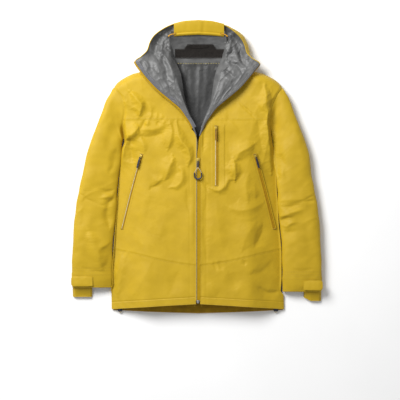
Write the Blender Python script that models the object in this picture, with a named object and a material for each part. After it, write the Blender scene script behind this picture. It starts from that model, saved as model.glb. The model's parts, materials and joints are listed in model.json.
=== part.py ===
"""Hardshell jacket lying on its back, front up, hood at +Y, half unzipped.

Units are metres and +Z is up.  The jacket rests on z = 0, +X is the wearer's left.
Every fabric panel is a thin closed solid of its own; sliders, pulls, tabs, sleeves
and the hood hang on empties that stand on their joints' axes.
"""
import math

import bmesh
import bpy
from mathutils import Matrix, Vector

# ---- driving sizes -------------------------------------------------------------
FABRIC = 0.0035            # thickness of a body panel, lining and seams included
GAP = 0.0006               # clearance between neighbouring panels
CHEST_TOP = 0.052          # height of the flat middle of the jacket front
FLAT_HALF = 0.165          # half width of that flat middle
FLANK_SLOPE = 0.38         # fall of the front towards the side seams
HALF_LENGTH = 0.4627       # half of the whole length, hem to hood crown
BACK_TOP = 0.290           # where the back ends and the neck band starts
COLLAR_TOP = 0.348         # where the collar ends and the hood starts
YOKE_SEAM = 0.149          # y of the seam under the yoke
V_POINT = 0.098            # y where the open front edges meet
LAPEL_START = 0.140        # lowest point of the turned-back part of the front
SLEEVE_WALL = 0.003
TAPE_WIDTH = 0.0062
HEM_DEPTH = 0.022
BELOW_SEAM_SIDE = -0.256   # lower diagonal seam at the side
BELOW_SEAM_MID = -0.309    # lower diagonal seam at the zip

# (y, x) points of the outlines of one half, lowest first
SIDE_LINE = ((-0.47, 0.2725), (-0.33, 0.2725), (-0.255, 0.2705), (-0.18, 0.265),
             (-0.11, 0.256), (-0.05, 0.249), (0.094, 0.234), (0.143, 0.243),
             (0.180, 0.249), (0.202, 0.253), (0.2555, 0.2625), (0.271, 0.249),
             (0.290, 0.208))
ROLL_LINE = ((-0.47, 0.0075), (V_POINT, 0.0075), (0.192, 0.041), (0.238, 0.047),
             (0.289, 0.0536), (0.334, 0.072), (0.36, 0.080))
ZIP_EDGE = ((V_POINT, 0.0075), (0.1358, 0.0236), (0.159, 0.0387), (0.1836, 0.0567),
            (0.209, 0.0857), (0.250, 0.134), (0.302, 0.179), (0.334, 0.197),
            (0.348, 0.178))
HOOD_LINE = ((0.350, 0.172), (0.3856, 0.153), (0.3985, 0.150), (0.4243, 0.124),
             (0.4385, 0.1017), (0.4475, 0.0825))
# yoke top edge: share of the way from the roll line to the armhole, and y
SHOULDER = ((0.0, 0.2885), (0.72, 0.2885), (0.93, 0.270), (1.0, 0.2555))

# sleeve stations: outer (x, y), inner (x, y), height
SLEEVE_HEAD = (((0.2665, 0.2530), (0.2390, 0.0920), 0.026),
               ((0.2990, 0.1990), (0.2415, 0.0620), 0.036),
               ((0.3255, 0.1250), (0.2432, 0.0325), 0.041))
UPPER_SLEEVE = (((0.3260, 0.1230), (0.2435, 0.0300), 0.042),
                ((0.3500, 0.0475), (0.2475, -0.0050), 0.042),
                ((0.3660, -0.0280), (0.2535, -0.0450), 0.041),
                ((0.3735, -0.0660), (0.2570, -0.0780), 0.041))
ELBOW = (((0.3745, -0.0685), (0.2575, -0.0805), 0.040),
         ((0.3810, -0.1040), (0.2610, -0.1100), 0.040),
         ((0.3885, -0.1465), (0.2665, -0.1485), 0.039))
FOREARM = (((0.3890, -0.1490), (0.2670, -0.1510), 0.040),
           ((0.3905, -0.1790), (0.2705, -0.1790), 0.040),
           ((0.3965, -0.2550), (0.2765, -0.2550), 0.038),
           ((0.3985, -0.3310), (0.2785, -0.3310), 0.035))
CUFF = (((0.3985, -0.3325), (0.2785, -0.3325), 0.034),
        ((0.3975, -0.3800), (0.2790, -0.3800), 0.034))

# joint places
HOOD_PIVOT = Vector((0.0, 0.325, 0.012))
SHOULDER_PIVOT = Vector((0.290, 0.105, 0.020))
ELBOW_PIVOT = Vector((0.320, -0.107, 0.020))
TAB_HINGE_X = 0.334
TAB_Y = (-0.376, -0.345)
MAIN_SLIDER_Y = 0.020
CHEST_ZIP_X = 0.0567
CHEST_ZIP_Y = (-0.058, 0.130)
HAND_ZIP_TOP = Vector((0.178, 0.041))
HAND_ZIP_END = Vector((0.240, -0.195))

COLOURS = {                      # name: (colour, roughness, metallic)
    "face_fabric": ((0.745, 0.539, 0.058, 1.0), 0.62, 0.0),
    "lining": ((0.17, 0.17, 0.175, 1.0), 0.40, 0.0),
    "zip_ochre": ((0.50, 0.33, 0.01, 1.0), 0.55, 0.0),
    "zip_cream": ((0.80, 0.68, 0.42, 1.0), 0.45, 0.0),
    "label": ((0.022, 0.017, 0.014, 1.0), 0.80, 0.0),
    "dark_pull": ((0.035, 0.035, 0.050, 1.0), 0.40, 0.0),
    "ochre_pull": ((0.36, 0.22, 0.01, 1.0), 0.45, 0.0),
    "slider_metal": ((0.45, 0.36, 0.14, 1.0), 0.35, 0.8),
}
SIDES = (("left", 1), ("right", -1))


# ---- general tools -------------------------------------------------------------
def clear_scene():
    for thing in list(bpy.data.objects):
        bpy.data.objects.remove(thing, do_unlink=True)


def material(name):
    found = bpy.data.materials.get(name)
    if found:
        return found
    colour, roughness, metallic = COLOURS[name]
    made = bpy.data.materials.new(name)
    made.use_nodes = True
    shader = made.node_tree.nodes["Principled BSDF"]
    shader.inputs["Base Color"].default_value = colour
    shader.inputs["Roughness"].default_value = roughness
    shader.inputs["Metallic"].default_value = metallic
    made.diffuse_color = colour
    return made


def add_mesh(name, points, faces, look, pivot=None):
    """One closed mesh object; its points are given in world space."""
    mesh = bpy.data.meshes.new(name)
    mesh.from_pydata([tuple(p) for p in points], [], faces)
    shape = bmesh.new()
    shape.from_mesh(mesh)
    bmesh.ops.recalc_face_normals(shape, faces=shape.faces)
    shape.to_mesh(mesh)
    shape.free()
    mesh.shade_smooth()
    mesh.set_sharp_from_angle(angle=math.radians(35))
    mesh.materials.append(material(look))
    thing = bpy.data.objects.new(name, mesh)
    bpy.context.collection.objects.link(thing)
    if pivot:
        mesh.transform(pivot_matrix(pivot).inverted())
        thing.parent = pivot
    return thing


def pivot_matrix(pivot):
    """World matrix of an empty from its own place and its parents' places."""
    own = Matrix.LocRotScale(pivot.location, pivot.rotation_euler, pivot.scale)
    return pivot_matrix(pivot.parent) @ own if pivot.parent else own


def add_pivot(name, place, parent=None, rotation=None):
    """Empty on a joint's axis; place and rotation are given in world space."""
    empty = bpy.data.objects.new(name, None)
    empty.empty_display_size = 0.02
    bpy.context.collection.objects.link(empty)
    world = Matrix.Translation(place)
    if rotation:
        world = world @ rotation.to_4x4()
    if parent:
        empty.parent = parent
        world = pivot_matrix(parent).inverted() @ world
    empty.location = world.to_translation()
    empty.rotation_euler = world.to_euler()
    return empty


def slab(name, rows, drop, look, pivot=None):
    """Closed sheet: a grid of top points and the same grid moved by drop."""
    drop = Vector(drop)
    across = len(rows[0])
    top = [Vector(p) for row in rows for p in row]
    points = top + [p + drop for p in top]
    below = len(top)
    last_row = (len(rows) - 1) * across
    faces = []
    for r in range(len(rows) - 1):
        for c in range(across - 1):
            a = r * across + c
            quad = (a, a + 1, a + across + 1, a + across)
            faces.append(quad)
            faces.append(tuple(below + i for i in reversed(quad)))
    rim = list(range(across))
    rim += [r * across + across - 1 for r in range(1, len(rows))]
    rim += [last_row + c for c in range(across - 2, -1, -1)]
    rim += [r * across for r in range(len(rows) - 2, 0, -1)]
    for a, b in zip(rim, rim[1:] + rim[:1]):
        faces.append((a, b, below + b, below + a))
    return add_mesh(name, points, faces, look, pivot)


def stack(loops, closed_ends=True):
    """Points and faces that join equal loops one after another."""
    size = len(loops[0])
    points = [p for loop in loops for p in loop]
    faces = []
    for k in range(len(loops) - 1):
        for i in range(size):
            j = (i + 1) % size
            faces.append((k * size + i, k * size + j, (k + 1) * size + j, (k + 1) * size + i))
    if closed_ends:
        faces.append(tuple(range(size)))
        faces.append(tuple((len(loops) - 1) * size + i for i in range(size)))
    return points, faces


def prism(name, outlines, look, pivot=None, frame=None):
    """Solid through flat outlines, each given as (list of (x, y), z)."""
    frame = frame or Matrix.Identity(4)
    loops = [[frame @ Vector((x, y, z)) for x, y in outline] for outline, z in outlines]
    points, faces = stack(loops)
    return add_mesh(name, points, faces, look, pivot)


def cord(name, route, radius, look, pivot=None):
    """Short round cord through hand-chosen points, with flat ends."""
    curve = bpy.data.curves.new(name, "CURVE")
    curve.dimensions = "3D"
    curve.bevel_depth = radius
    curve.bevel_resolution = 2
    curve.use_fill_caps = True
    line = curve.splines.new("POLY")
    line.points.add(len(route) - 1)
    base = pivot_matrix(pivot).inverted() if pivot else Matrix.Identity(4)
    for spot, place in zip(line.points, route):
        spot.co = (*(base @ Vector(place)), 1.0)
    curve.materials.append(material(look))
    thing = bpy.data.objects.new(name, curve)
    bpy.context.collection.objects.link(thing)
    thing.parent = pivot
    return thing


def rounded_box(width, length, corner, steps=3):
    """Outline of a rectangle with round corners, centred on the origin."""
    outline = []
    for k in range(4):
        turn = math.pi / 2 * k
        sx, sy = ((1, 1), (-1, 1), (-1, -1), (1, -1))[k]
        cx, cy = sx * (width / 2 - corner), sy * (length / 2 - corner)
        for i in range(steps + 1):
            angle = turn + math.pi / 2 * i / steps
            outline.append((cx + corner * math.cos(angle), cy + corner * math.sin(angle)))
    return outline


def shift(outline, dx=0.0, dy=0.0, scale=1.0):
    return [(x * scale + dx, y * scale + dy) for x, y in outline]


def along(points, value):
    """Second column at a value of the first, on the straight stretches between points."""
    if value <= points[0][0]:
        return points[0][1]
    for (a, fa), (b, fb) in zip(points, points[1:]):
        if value <= b:
            return fa + (fb - fa) * (value - a) / (b - a)
    return points[-1][1]


def spread(low, high, count):
    return [low + (high - low) * i / (count - 1) for i in range(count)]


def smooth(value):
    value = min(1.0, max(0.0, value))
    return value * value * (3 - 2 * value)


# ---- the torso's shape ---------------------------------------------------------
def front_height(x):
    """Top of the front: a flat middle and two flat flanks."""
    return CHEST_TOP - FLANK_SLOPE * max(0.0, abs(x) - FLAT_HALF)


def panel_outer(y):
    """Outer edge of a front panel, inside the side wall."""
    return along(SIDE_LINE, y) - 0.0034


def front_hem_y(x):
    return -0.431 - 0.018 * abs(x) / 0.2725


def back_hem_y(x):
    return -HALF_LENGTH + 0.0105 * (x / 0.2725) ** 2


def front_columns(inner):
    """Shares across a panel: the kink between flat middle and flank is one of them."""
    outer = 0.265
    kink = (FLAT_HALF - inner) / (outer - inner)
    return [0.0, kink * 0.5, kink, kink + (1 - kink) * 0.5, 1.0]


def front_grid(side, low, high, rows):
    """Grid of front points between two lines y = low(x) and y = high(x)."""
    grid = []
    for v in spread(0.0, 1.0, rows):
        row = []
        for u in front_columns(0.008):
            guess = u * 0.265
            y = low(guess) + (high(guess) - low(guess)) * v
            inner = along(ROLL_LINE, y) + GAP
            x = inner + (panel_outer(y) - inner) * u
            if u == front_columns(0.008)[2]:
                x = FLAT_HALF
            row.append((side * x, y, front_height(x)))
        grid.append(row)
    return grid


def below_seam(x):
    return BELOW_SEAM_MID + (BELOW_SEAM_SIDE - BELOW_SEAM_MID) * x / 0.2725


def make_front(name, side):
    """Front panel, the panel below its diagonal seam and the hem channel."""
    low = (0.0, 0.0, -FABRIC)
    slab(f"front_panel_{name}", front_grid(side, lambda x: below_seam(x) + GAP,
                                           lambda x: YOKE_SEAM - GAP, 9), low, "face_fabric")
    slab(f"lower_panel_{name}", front_grid(side, lambda x: front_hem_y(x) + HEM_DEPTH + GAP,
                                           lambda x: below_seam(x) - GAP, 4), low, "face_fabric")
    slab(f"hem_channel_{name}", front_grid(side, front_hem_y,
                                           lambda x: front_hem_y(x) + HEM_DEPTH - GAP, 2),
         (0.0, 0.0, -FABRIC - 0.001), "face_fabric")


def make_yoke(name, side):
    """Shoulder yoke: its top edge bends down to the shoulder seam."""
    grid = []
    for v in spread(0.0, 1.0, 5):
        row = []
        for u in (0.0, 0.25, 0.5, 0.75, 0.9, 1.0):
            y = YOKE_SEAM + GAP + (along(SHOULDER, u) - YOKE_SEAM) * v
            inner = along(ROLL_LINE, y) + GAP
            x = inner + (panel_outer(min(y, 0.2555)) - inner) * u
            row.append((side * x, y, front_height(x) - 0.007 * v * v))
        grid.append(row)
    slab(f"yoke_{name}", grid, (0.0, 0.0, -FABRIC), "face_fabric")


def make_side_wall(name, side):
    """Side panel standing between the back and the edge of the front."""
    rows = []
    for y in (-0.4395, -0.33, -0.255, -0.18, -0.11, -0.05, 0.072):
        x = along(SIDE_LINE, y)
        top = front_height(x)
        rows.append([(side * x, y, top * k) for k in (0.0, 0.5, 1.0)])
    slab(f"side_panel_{name}", rows, (-side * 0.0023, 0.0, 0.0), "face_fabric")


def make_back():
    """Back panel flat on the floor and the facing inside its hem."""
    ys = (-0.4285, -0.33, -0.255, -0.18, -0.11, -0.05, 0.02, 0.094, 0.143, 0.180, 0.202,
          0.2555, 0.271, BACK_TOP)
    shares = (-1.0, -0.66, -0.33, 0.0, 0.33, 0.66, 1.0)
    rows = [[(s * panel_outer(y), y, FABRIC) for s in shares] for y in ys]
    slab("back_panel", rows, (0.0, 0.0, -FABRIC), "lining")
    wide = panel_outer(-0.44)
    xs = spread(-wide, wide, 13)
    hem = [[(x, back_hem_y(x), 0.0045) for x in xs], [(x, -0.4295, 0.0045) for x in xs]]
    slab("back_hem_facing", hem, (0.0, 0.0, -0.0045), "zip_ochre")


def make_lapel(name, side):
    """Front turned back on itself: lining up, zip edge outside, fold inside."""
    rows = []
    for y in (LAPEL_START, 0.159, 0.1836, 0.209, 0.250, BACK_TOP - 0.002):
        inner, outer = along(ROLL_LINE, y), along(ZIP_EDGE, y)
        row = []
        for u in (0.0, 0.2, 0.6, 1.0):
            rise = 0.006 * math.sin(math.pi * (0.2 + 0.6 * (1 - u))) * smooth((y - 0.13) / 0.05)
            row.append((side * (inner + (outer - inner) * u), y, 0.0600 + rise))
        rows.append(row)
    slab(f"lapel_{name}", rows, (0.0, 0.0, -FABRIC), "lining")


def make_collar(name, side):
    """Soft part of the collar that bends when the hood is lifted."""
    rows = []
    for y in (BACK_TOP + GAP, 0.310, 0.334, COLLAR_TOP - GAP):
        inner, outer = along(ROLL_LINE, y) + 0.004, along(ZIP_EDGE, y)
        row = []
        for x in spread(inner, outer, 6):
            rise = smooth((x - inner) / 0.055)
            row.append((side * x, y, 0.012 + 0.048 * rise))
        rows.append(row)
    slab(f"collar_{name}", rows, (0.0, 0.0, -FABRIC), "lining")


def make_zip_tape(name, side):
    """One half of the front zip, from the box at the hem to the open V."""
    rows = []
    for y in (-0.4185, -0.2, 0.0, V_POINT, 0.115, LAPEL_START - 0.002):
        outer = along(ROLL_LINE, y) - GAP * 0.5
        rows.append([(side * (outer - TAPE_WIDTH), y, CHEST_TOP - 0.0005),
                     (side * outer, y, CHEST_TOP - 0.0005)])
    slab(f"zip_tape_{name}", rows, (0.0, 0.0, -0.0025), "zip_ochre")


def make_torso():
    make_back()
    for name, side in SIDES:
        make_front(name, side)
        make_yoke(name, side)
        make_side_wall(name, side)
        make_lapel(name, side)
        make_collar(name, side)
        make_zip_tape(name, side)
        make_hand_pocket(name, side)
        make_hem_lock(name, side)
    box = shift(rounded_box(0.0100, 0.0095, 0.0015), dy=-0.4245)
    prism("zip_bottom_box", ((box, CHEST_TOP - 0.003), (box, CHEST_TOP + 0.0015)), "slider_metal")
    make_chest_pocket()


# ---- pockets and hem -----------------------------------------------------------
def pocket_frame(side):
    """Frame of a hand-pocket zip: +Y up along the zip, +Z out of the flank."""
    top = Vector((side * HAND_ZIP_TOP.x, HAND_ZIP_TOP.y, front_height(HAND_ZIP_TOP.x)))
    end = Vector((side * HAND_ZIP_END.x, HAND_ZIP_END.y, front_height(HAND_ZIP_END.x)))
    normal = Vector((side * FLANK_SLOPE, 0.0, 1.0)).normalized()
    up = (top - end).normalized()
    right = up.cross(normal)
    turn = Matrix((right, up, normal)).transposed()
    return top, turn, (top - end).length


def make_hand_pocket(name, side):
    """Zip strip on the flank and the pocket bag hanging inside."""
    top, turn, length = pocket_frame(side)
    frame = Matrix.Translation(top) @ turn.to_4x4()
    strip = shift(rounded_box(0.0075, length, 0.002), dy=-length / 2)
    prism(f"hand_zip_{name}", ((strip, 0.0005), (strip, 0.0018)), "zip_cream", frame=frame)
    rows = []
    for y in (-0.225, -0.10, 0.02):
        row = []
        for x in (0.090, FLAT_HALF, 0.2200):
            row.append((side * x, y, front_height(x) - 0.0085))
        rows.append(row)
    slab(f"hand_pocket_bag_{name}", rows, (0.0, 0.0, -0.0015), "lining")


def make_chest_pocket():
    length = CHEST_ZIP_Y[1] - CHEST_ZIP_Y[0]
    strip = shift(rounded_box(0.0075, length, 0.002), CHEST_ZIP_X, sum(CHEST_ZIP_Y) / 2)
    prism("chest_zip", ((strip, CHEST_TOP + 0.0005), (strip, CHEST_TOP + 0.0018)), "zip_cream")
    rows = [[(x, y, CHEST_TOP - 0.0048) for x in (0.025, 0.16)] for y in (-0.055, 0.125)]
    slab("chest_pocket_bag", rows, (0.0, 0.0, -0.0015), "lining")


def make_hem_lock(name, side):
    """Cord lock of the hem cord, inside the hem next to the side seam."""
    outline = shift(rounded_box(0.015, 0.013, 0.003), side * 0.247, -0.4465)
    prism(f"hem_cord_lock_{name}", ((outline, 0.0052), (outline, 0.0122)), "dark_pull")


# ---- hood ----------------------------------------------------------------------
def make_hood():
    pivot = add_pivot("hood_pivot", HOOD_PIVOT)
    make_neck()
    make_hood_center(pivot)
    make_peak(pivot)
    make_label(pivot)
    for name, side in SIDES:
        make_hood_side(name, side, pivot)
        cord(f"hood_cord_{name}", [(side * 0.0805, 0.4190, 0.0565), (side * 0.0845, 0.4175, 0.0572),
                                   (side * 0.0885, 0.4145, 0.0570), (side * 0.0920, 0.4110, 0.0555)],
             0.0015, "face_fabric", pivot)


def make_neck():
    """Soft band behind the neck, between back and hood."""
    xs = (-1.0, -0.5, 0.0, 0.5, 1.0)
    rows = [[(k * (along(ROLL_LINE, y) - 0.001), y, 0.0045) for k in xs]
            for y in (BACK_TOP + GAP, 0.316, 0.342)]
    slab("neck_band", rows, (0.0, 0.0, -FABRIC), "lining")


def make_hood_center(pivot):
    """Middle hood panel: flat behind the head, rising to the crown."""
    profile = ((0.3435, 0.0035), (0.37, 0.0035), (0.40, 0.0035), (0.428, 0.0045),
               (0.440, 0.0150), (0.4465, 0.0300))
    rows = [[(x, y, z) for x in spread(-0.077, 0.077, 5)] for y, z in profile]
    slab("hood_center_panel", rows, (0.0, 0.0, -FABRIC), "lining", pivot)


def make_hood_side(name, side, pivot):
    """Side hood panel, from the middle panel up to the rim of the face opening."""
    rows = []
    for y in (0.350, 0.368, 0.3856, 0.3985, 0.4243, 0.4385):
        outer = along(HOOD_LINE, y)
        row = []
        for x in spread(0.0785, outer, 6):
            rise = smooth((x - 0.0785) / max(0.022, outer - 0.0985))
            row.append((side * x, y, 0.0045 + 0.0515 * rise * (0.82 + 0.18 * smooth((y - 0.35) / 0.05))))
        rows.append(row)
    slab(f"hood_side_{name}", rows, (0.0, 0.0, -FABRIC), "lining", pivot)


def make_peak(pivot):
    """Stiff peak over the face opening."""
    rows = []
    for v in (0.0, 0.5, 1.0):
        row = []
        for x in spread(-0.077, 0.077, 9):
            bow = (x / 0.077) ** 2
            low, high = 0.4145 - 0.005 * bow, HALF_LENGTH - 0.015 * bow
            row.append((x, low + (high - low) * v, 0.058 - 0.004 * bow - 0.004 * v * v))
        rows.append(row)
    slab("hood_peak", rows, (0.0, 0.0, -0.004), "face_fabric", pivot)


def make_label(pivot):
    """Blank label band with a raised middle, and the hanger loop over it."""
    outline = [(-0.0745, 0.3456), (0.0745, 0.3456), (0.0745, 0.3735), (0.0535, 0.3735),
               (0.0490, 0.3880), (-0.0490, 0.3880), (-0.0535, 0.3735), (-0.0745, 0.3735)]
    prism("neck_label", ((outline, 0.0040), (outline, 0.0050)), "label", pivot)
    rows = []
    for x in spread(-0.032, 0.032, 9):
        z = 0.0068 + 0.0045 * math.cos(math.pi * x / 0.064)
        rows.append([(x, 0.3775, z), (x, 0.3845, z)])
    slab("hanger_loop", rows, (0.0, 0.0, -0.0013), "label", pivot)


# ---- sleeves -------------------------------------------------------------------
def sleeve_loop(outer, inner, height, inset, lift, count=16):
    """Flattened ring across the sleeve between two edge points."""
    outer, inner = Vector((*outer, 0.0)), Vector((*inner, 0.0))
    centre, half = (outer + inner) / 2, (outer - inner) / 2
    half = half * (1 - inset / half.length)
    loop = []
    for i in range(count):
        angle = 2 * math.pi * i / count
        c, s = math.cos(angle), math.sin(angle)
        flat_c = math.copysign(abs(c) ** 0.62, c)
        flat_s = math.copysign(abs(s) ** 0.62, s)
        z = lift + height / 2 + (height / 2 - inset) * flat_s
        loop.append(centre + half * flat_c + Vector((0.0, 0.0, z)))
    return loop


def tube(name, stations, side, pivot=None, lift=0.0):
    """Open sleeve section with a real wall and both ends open."""
    skins = []
    for inset in (0.0, SLEEVE_WALL):
        loops = []
        for (ox, oy), (ix, iy), height in stations:
            loops.append(sleeve_loop((side * ox, oy), (side * ix, iy), height, inset, lift))
        skins.append(stack(loops, closed_ends=False))
    points = skins[0][0] + skins[1][0]
    base = len(skins[0][0])
    faces = skins[0][1] + [tuple(base + i for i in face) for face in skins[1][1]]
    size = base // len(stations)
    for start in (0, base - size):
        for i in range(size):
            j = (i + 1) % size
            faces.append((start + i, start + j, base + start + j, base + start + i))
    return add_mesh(name, points, faces, "face_fabric", pivot)


def make_sleeve(name, side):
    shoulder = add_pivot(f"shoulder_pivot_{name}", mirrored(SHOULDER_PIVOT, side))
    elbow = add_pivot(f"elbow_pivot_{name}", mirrored(ELBOW_PIVOT, side), shoulder)
    tube(f"sleeve_head_{name}", SLEEVE_HEAD, side, lift=0.0005)
    tube(f"upper_sleeve_{name}", UPPER_SLEEVE, side, shoulder)
    tube(f"elbow_panel_{name}", ELBOW, side, shoulder, lift=0.0005)
    tube(f"forearm_{name}", FOREARM, side, elbow)
    tube(f"cuff_{name}", CUFF, side, elbow)
    make_hand_cover(name, side, elbow)
    make_cuff_tab(name, side, elbow)


def mirrored(place, side):
    return Vector((side * place.x, place.y, place.z))


def make_hand_cover(name, side, pivot):
    """Longer back edge of the cuff that covers the hand."""
    outline = [(0.3350, -0.3812), (0.3350, -0.3990), (0.3405, -0.4060), (0.3500, -0.4095),
               (0.3930, -0.4095), (0.3955, -0.3812)]
    outline = [(side * x, y) for x, y in outline]
    prism(f"hand_cover_{name}", ((outline, 0.0), (outline, 0.0035)), "face_fabric", pivot)


def make_cuff_tab(name, side, parent):
    """Closing tab on top of the cuff, sewn at its inner end, free end outside."""
    hinge = Vector((side * TAB_HINGE_X, sum(TAB_Y) / 2, 0.0358))
    pivot = add_pivot(f"cuff_tab_pivot_{name}", hinge, parent)
    length, width = 0.3985 - TAB_HINGE_X, TAB_Y[1] - TAB_Y[0]
    outline = shift(rounded_box(length, width, 0.006), side * (TAB_HINGE_X + length / 2), hinge.y)
    prism(f"cuff_tab_{name}", ((outline, 0.0346), (outline, 0.0370)), "face_fabric", pivot)


# ---- sliders and pulls ---------------------------------------------------------
def make_slider(name, width, length, height, look, pivot, frame):
    """Slider body with a narrower crown that carries the pull."""
    body = rounded_box(width, length, width * 0.3)
    crown = rounded_box(width * 0.45, length * 0.8, width * 0.15)
    mid = height * 0.6
    prism(name, ((body, 0.0005), (body, mid), (crown, mid + 0.0002), (crown, height)),
          look, pivot, frame)


def make_main_zip():
    """Front zip slider with its stem, cord and moulded grip."""
    place = Vector((0.0, MAIN_SLIDER_Y, CHEST_TOP))
    slider = add_pivot("main_slider_pivot", place)
    hinge = add_pivot("main_pull_pivot", (0.0, 0.0190, 0.0592), slider)
    make_slider("main_slider", 0.012, 0.018, 0.0058, "slider_metal", slider,
                Matrix.Translation(place))
    stem = shift(rounded_box(0.0052, 0.0205, 0.002), dy=0.00925)
    prism("main_pull", ((stem, 0.0583), (stem, 0.0601)), "dark_pull", hinge)
    legs = [(-0.0110, -0.0170, 0.0588), (-0.0075, -0.0105, 0.0588), (-0.0040, -0.0055, 0.0588),
            (0.0, -0.0030, 0.0588),
            (0.0040, -0.0055, 0.0588), (0.0075, -0.0105, 0.0588), (0.0110, -0.0170, 0.0588)]
    cord("main_pull_cord", legs, 0.0011, "zip_cream", hinge)
    grip = [(-0.0112, -0.0190, 0.0585), (-0.0112, -0.0270, 0.0585)]
    for i in range(9):
        angle = math.pi + math.pi * i / 8
        grip.append((0.0112 * math.cos(angle), -0.0290 + 0.0092 * math.sin(angle), 0.0585))
    grip += [(0.0112, -0.0270, 0.0585), (0.0112, -0.0190, 0.0585)]
    cord("main_pull_grip", grip, 0.0024, "dark_pull", hinge)


def make_pocket_slider(name, place, turn, pull_look):
    """Small slider and flat pull of a pocket zip."""
    frame = Matrix.Translation(place) @ turn.to_4x4()
    slider = add_pivot(f"{name}_slider_pivot", place, rotation=turn)
    base = frame @ Matrix.Translation((0.0, -0.008, 0.0020))
    make_slider(f"{name}_slider", 0.0085, 0.012, 0.0036, "slider_metal", slider, base)
    hinge = add_pivot(f"{name}_pull_pivot", frame @ Vector((0.0, -0.0100, 0.0070)), slider, turn)
    plate = shift(rounded_box(0.0062, 0.036, 0.0025), dy=-0.0275)
    prism(f"{name}_pull", ((plate, 0.0061), (plate, 0.0079)), pull_look, hinge, frame)


def make_pocket_sliders():
    chest_top = Vector((CHEST_ZIP_X, CHEST_ZIP_Y[1], CHEST_TOP))
    make_pocket_slider("chest", chest_top, Matrix.Identity(3), "ochre_pull")
    for name, side in SIDES:
        top, turn, _ = pocket_frame(side)
        make_pocket_slider(f"hand_{name}", top, turn, "dark_pull")


def main():
    clear_scene()
    make_torso()
    make_hood()
    for name, side in SIDES:
        make_sleeve(name, side)
    make_main_zip()
    make_pocket_sliders()


main()
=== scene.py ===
"""Looks of the hardshell jacket: cloth, seams, zips, cords and trim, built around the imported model.

The jacket lies on its back with its front half open, and the camera looks straight down on it.
+X is the wearer's left, +Y is towards the hood and +Z is up. Sizes are in metres, apart from the tables
inside metres(), which are in millimetres.
"""
import json
import math

import bmesh
import bpy
import numpy as np
from mathutils import Matrix, Vector


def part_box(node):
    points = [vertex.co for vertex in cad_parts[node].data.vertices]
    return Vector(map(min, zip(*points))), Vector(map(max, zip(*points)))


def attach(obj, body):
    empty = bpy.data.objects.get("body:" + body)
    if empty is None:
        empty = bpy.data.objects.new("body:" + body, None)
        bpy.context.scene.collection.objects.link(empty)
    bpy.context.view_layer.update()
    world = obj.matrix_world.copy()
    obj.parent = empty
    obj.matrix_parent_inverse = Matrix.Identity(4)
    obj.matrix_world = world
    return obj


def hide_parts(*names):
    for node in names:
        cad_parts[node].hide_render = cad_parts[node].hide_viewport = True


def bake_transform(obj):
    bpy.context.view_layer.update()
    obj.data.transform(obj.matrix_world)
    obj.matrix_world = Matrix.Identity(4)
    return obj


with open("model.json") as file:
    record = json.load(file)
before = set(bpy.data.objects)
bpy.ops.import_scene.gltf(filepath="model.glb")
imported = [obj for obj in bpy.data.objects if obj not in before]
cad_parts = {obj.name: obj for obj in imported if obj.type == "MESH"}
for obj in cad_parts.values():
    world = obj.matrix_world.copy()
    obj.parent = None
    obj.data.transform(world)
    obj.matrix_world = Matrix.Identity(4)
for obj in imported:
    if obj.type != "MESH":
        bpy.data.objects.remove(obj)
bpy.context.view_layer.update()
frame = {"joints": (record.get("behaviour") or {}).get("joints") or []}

SIDES = (("left", 1), ("right", -1))     # the wearer's side, and the sign of its x
JOINTS = {joint["name"]: joint for joint in frame["joints"]}


def metres(value):
    """Nested lengths in metres, from the millimetres in which the tables are written."""
    if isinstance(value, dict):
        return {key: metres(part) for key, part in value.items()}
    if isinstance(value, tuple):
        return tuple(metres(part) for part in value)
    return round(value * 0.001, 7)


# ---- driving sizes -------------------------------------------------------------
CLOTH = 0.0009            # thickness of the three-layer cloth
TAPE_THICK = 0.0006       # thickness of tapes and bindings
STEP = 0.0022             # spacing of the cloth's mesh
CREST = 0.0512            # height of the closed front
FLAT_HALF = 0.165         # half width of the level middle of the front
FLANK_SLOPE = 0.38        # fall of the front towards the sides
CHEST_SLOPE = 0.14        # the same beside the armholes
EDGE_ROUND = 0.010        # width over which the front turns down at the sides
FRONT_EDGE = 0.0068       # front edge beside the zip, from the middle
V_POINT = 0.098           # where the open zip starts
YOKE_SEAM = 0.149         # y of the seam below the yoke
HEM_DEPTH = 0.022         # height of the stitched channel along the hem
NECK_SEAM = 0.3295        # y of the seam behind the neck
ZIP_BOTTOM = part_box("zip_tape_left")[0].y
BACK_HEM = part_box("back_hem_facing")[0].y

# Outlines as (y, x). The side line is the side seam and above it the armhole.
SIDE_LINE = metres({
    "right": (
        (-470, 272.5), (-400, 274), (-387, 275), (-367, 270.5), (-340, 271.8), (-257, 266.2),
        (-218, 263.4), (-110, 255.5), (-50, 250), (6.7, 245.7), (53.9, 241.8), (81.5, 233.5), (117, 237),
        (140.5, 236), (180, 231), (223.2, 242.5), (250.8, 263.5), (255.5, 265.5)),
    "left": (
        (-470, 272.5), (-450, 271.7), (-405, 270.9), (-391, 262), (-348, 264), (-281, 264), (-222, 260),
        (-182, 255.5), (-110, 251.5), (-50, 248), (6.7, 244.5), (77.5, 236.6), (109, 230.7),
        (148.4, 225.5), (183.8, 231), (223.2, 246), (250.8, 263.5), (255.5, 265.5)),
})
ROLL_LINE = ((-0.47, FRONT_EDGE), (V_POINT, FRONT_EDGE), (0.192, 0.036), (0.238, 0.043), (0.289, 0.052),
             (0.334, 0.072))
BACK_LINE = metres((
    (-470, 266), (-330, 266), (-255, 264), (-180, 258), (-50, 242), (94, 228), (180, 240), (255.5, 250),
    (271, 238), (290, 190), (300, 120), (340, 100)))
# Seams as (x, y).
HEM_EDGE = metres((
    (0, -431), (140, -439.5), (272.5, -449)))
WAIST_SEAM = metres((
    (0, -309), (70, -299), (135, -286), (200, -270.5), (270, -256)))
SHOULDER_LINE = metres((
    (0, 300), (170, 302), (200, 297), (235, 281), (256, 266), (265.5, 253.5)))
BACK_EDGE = ((0.0, BACK_HEM), (0.14, -0.4585), (0.2725, -0.452))

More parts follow.
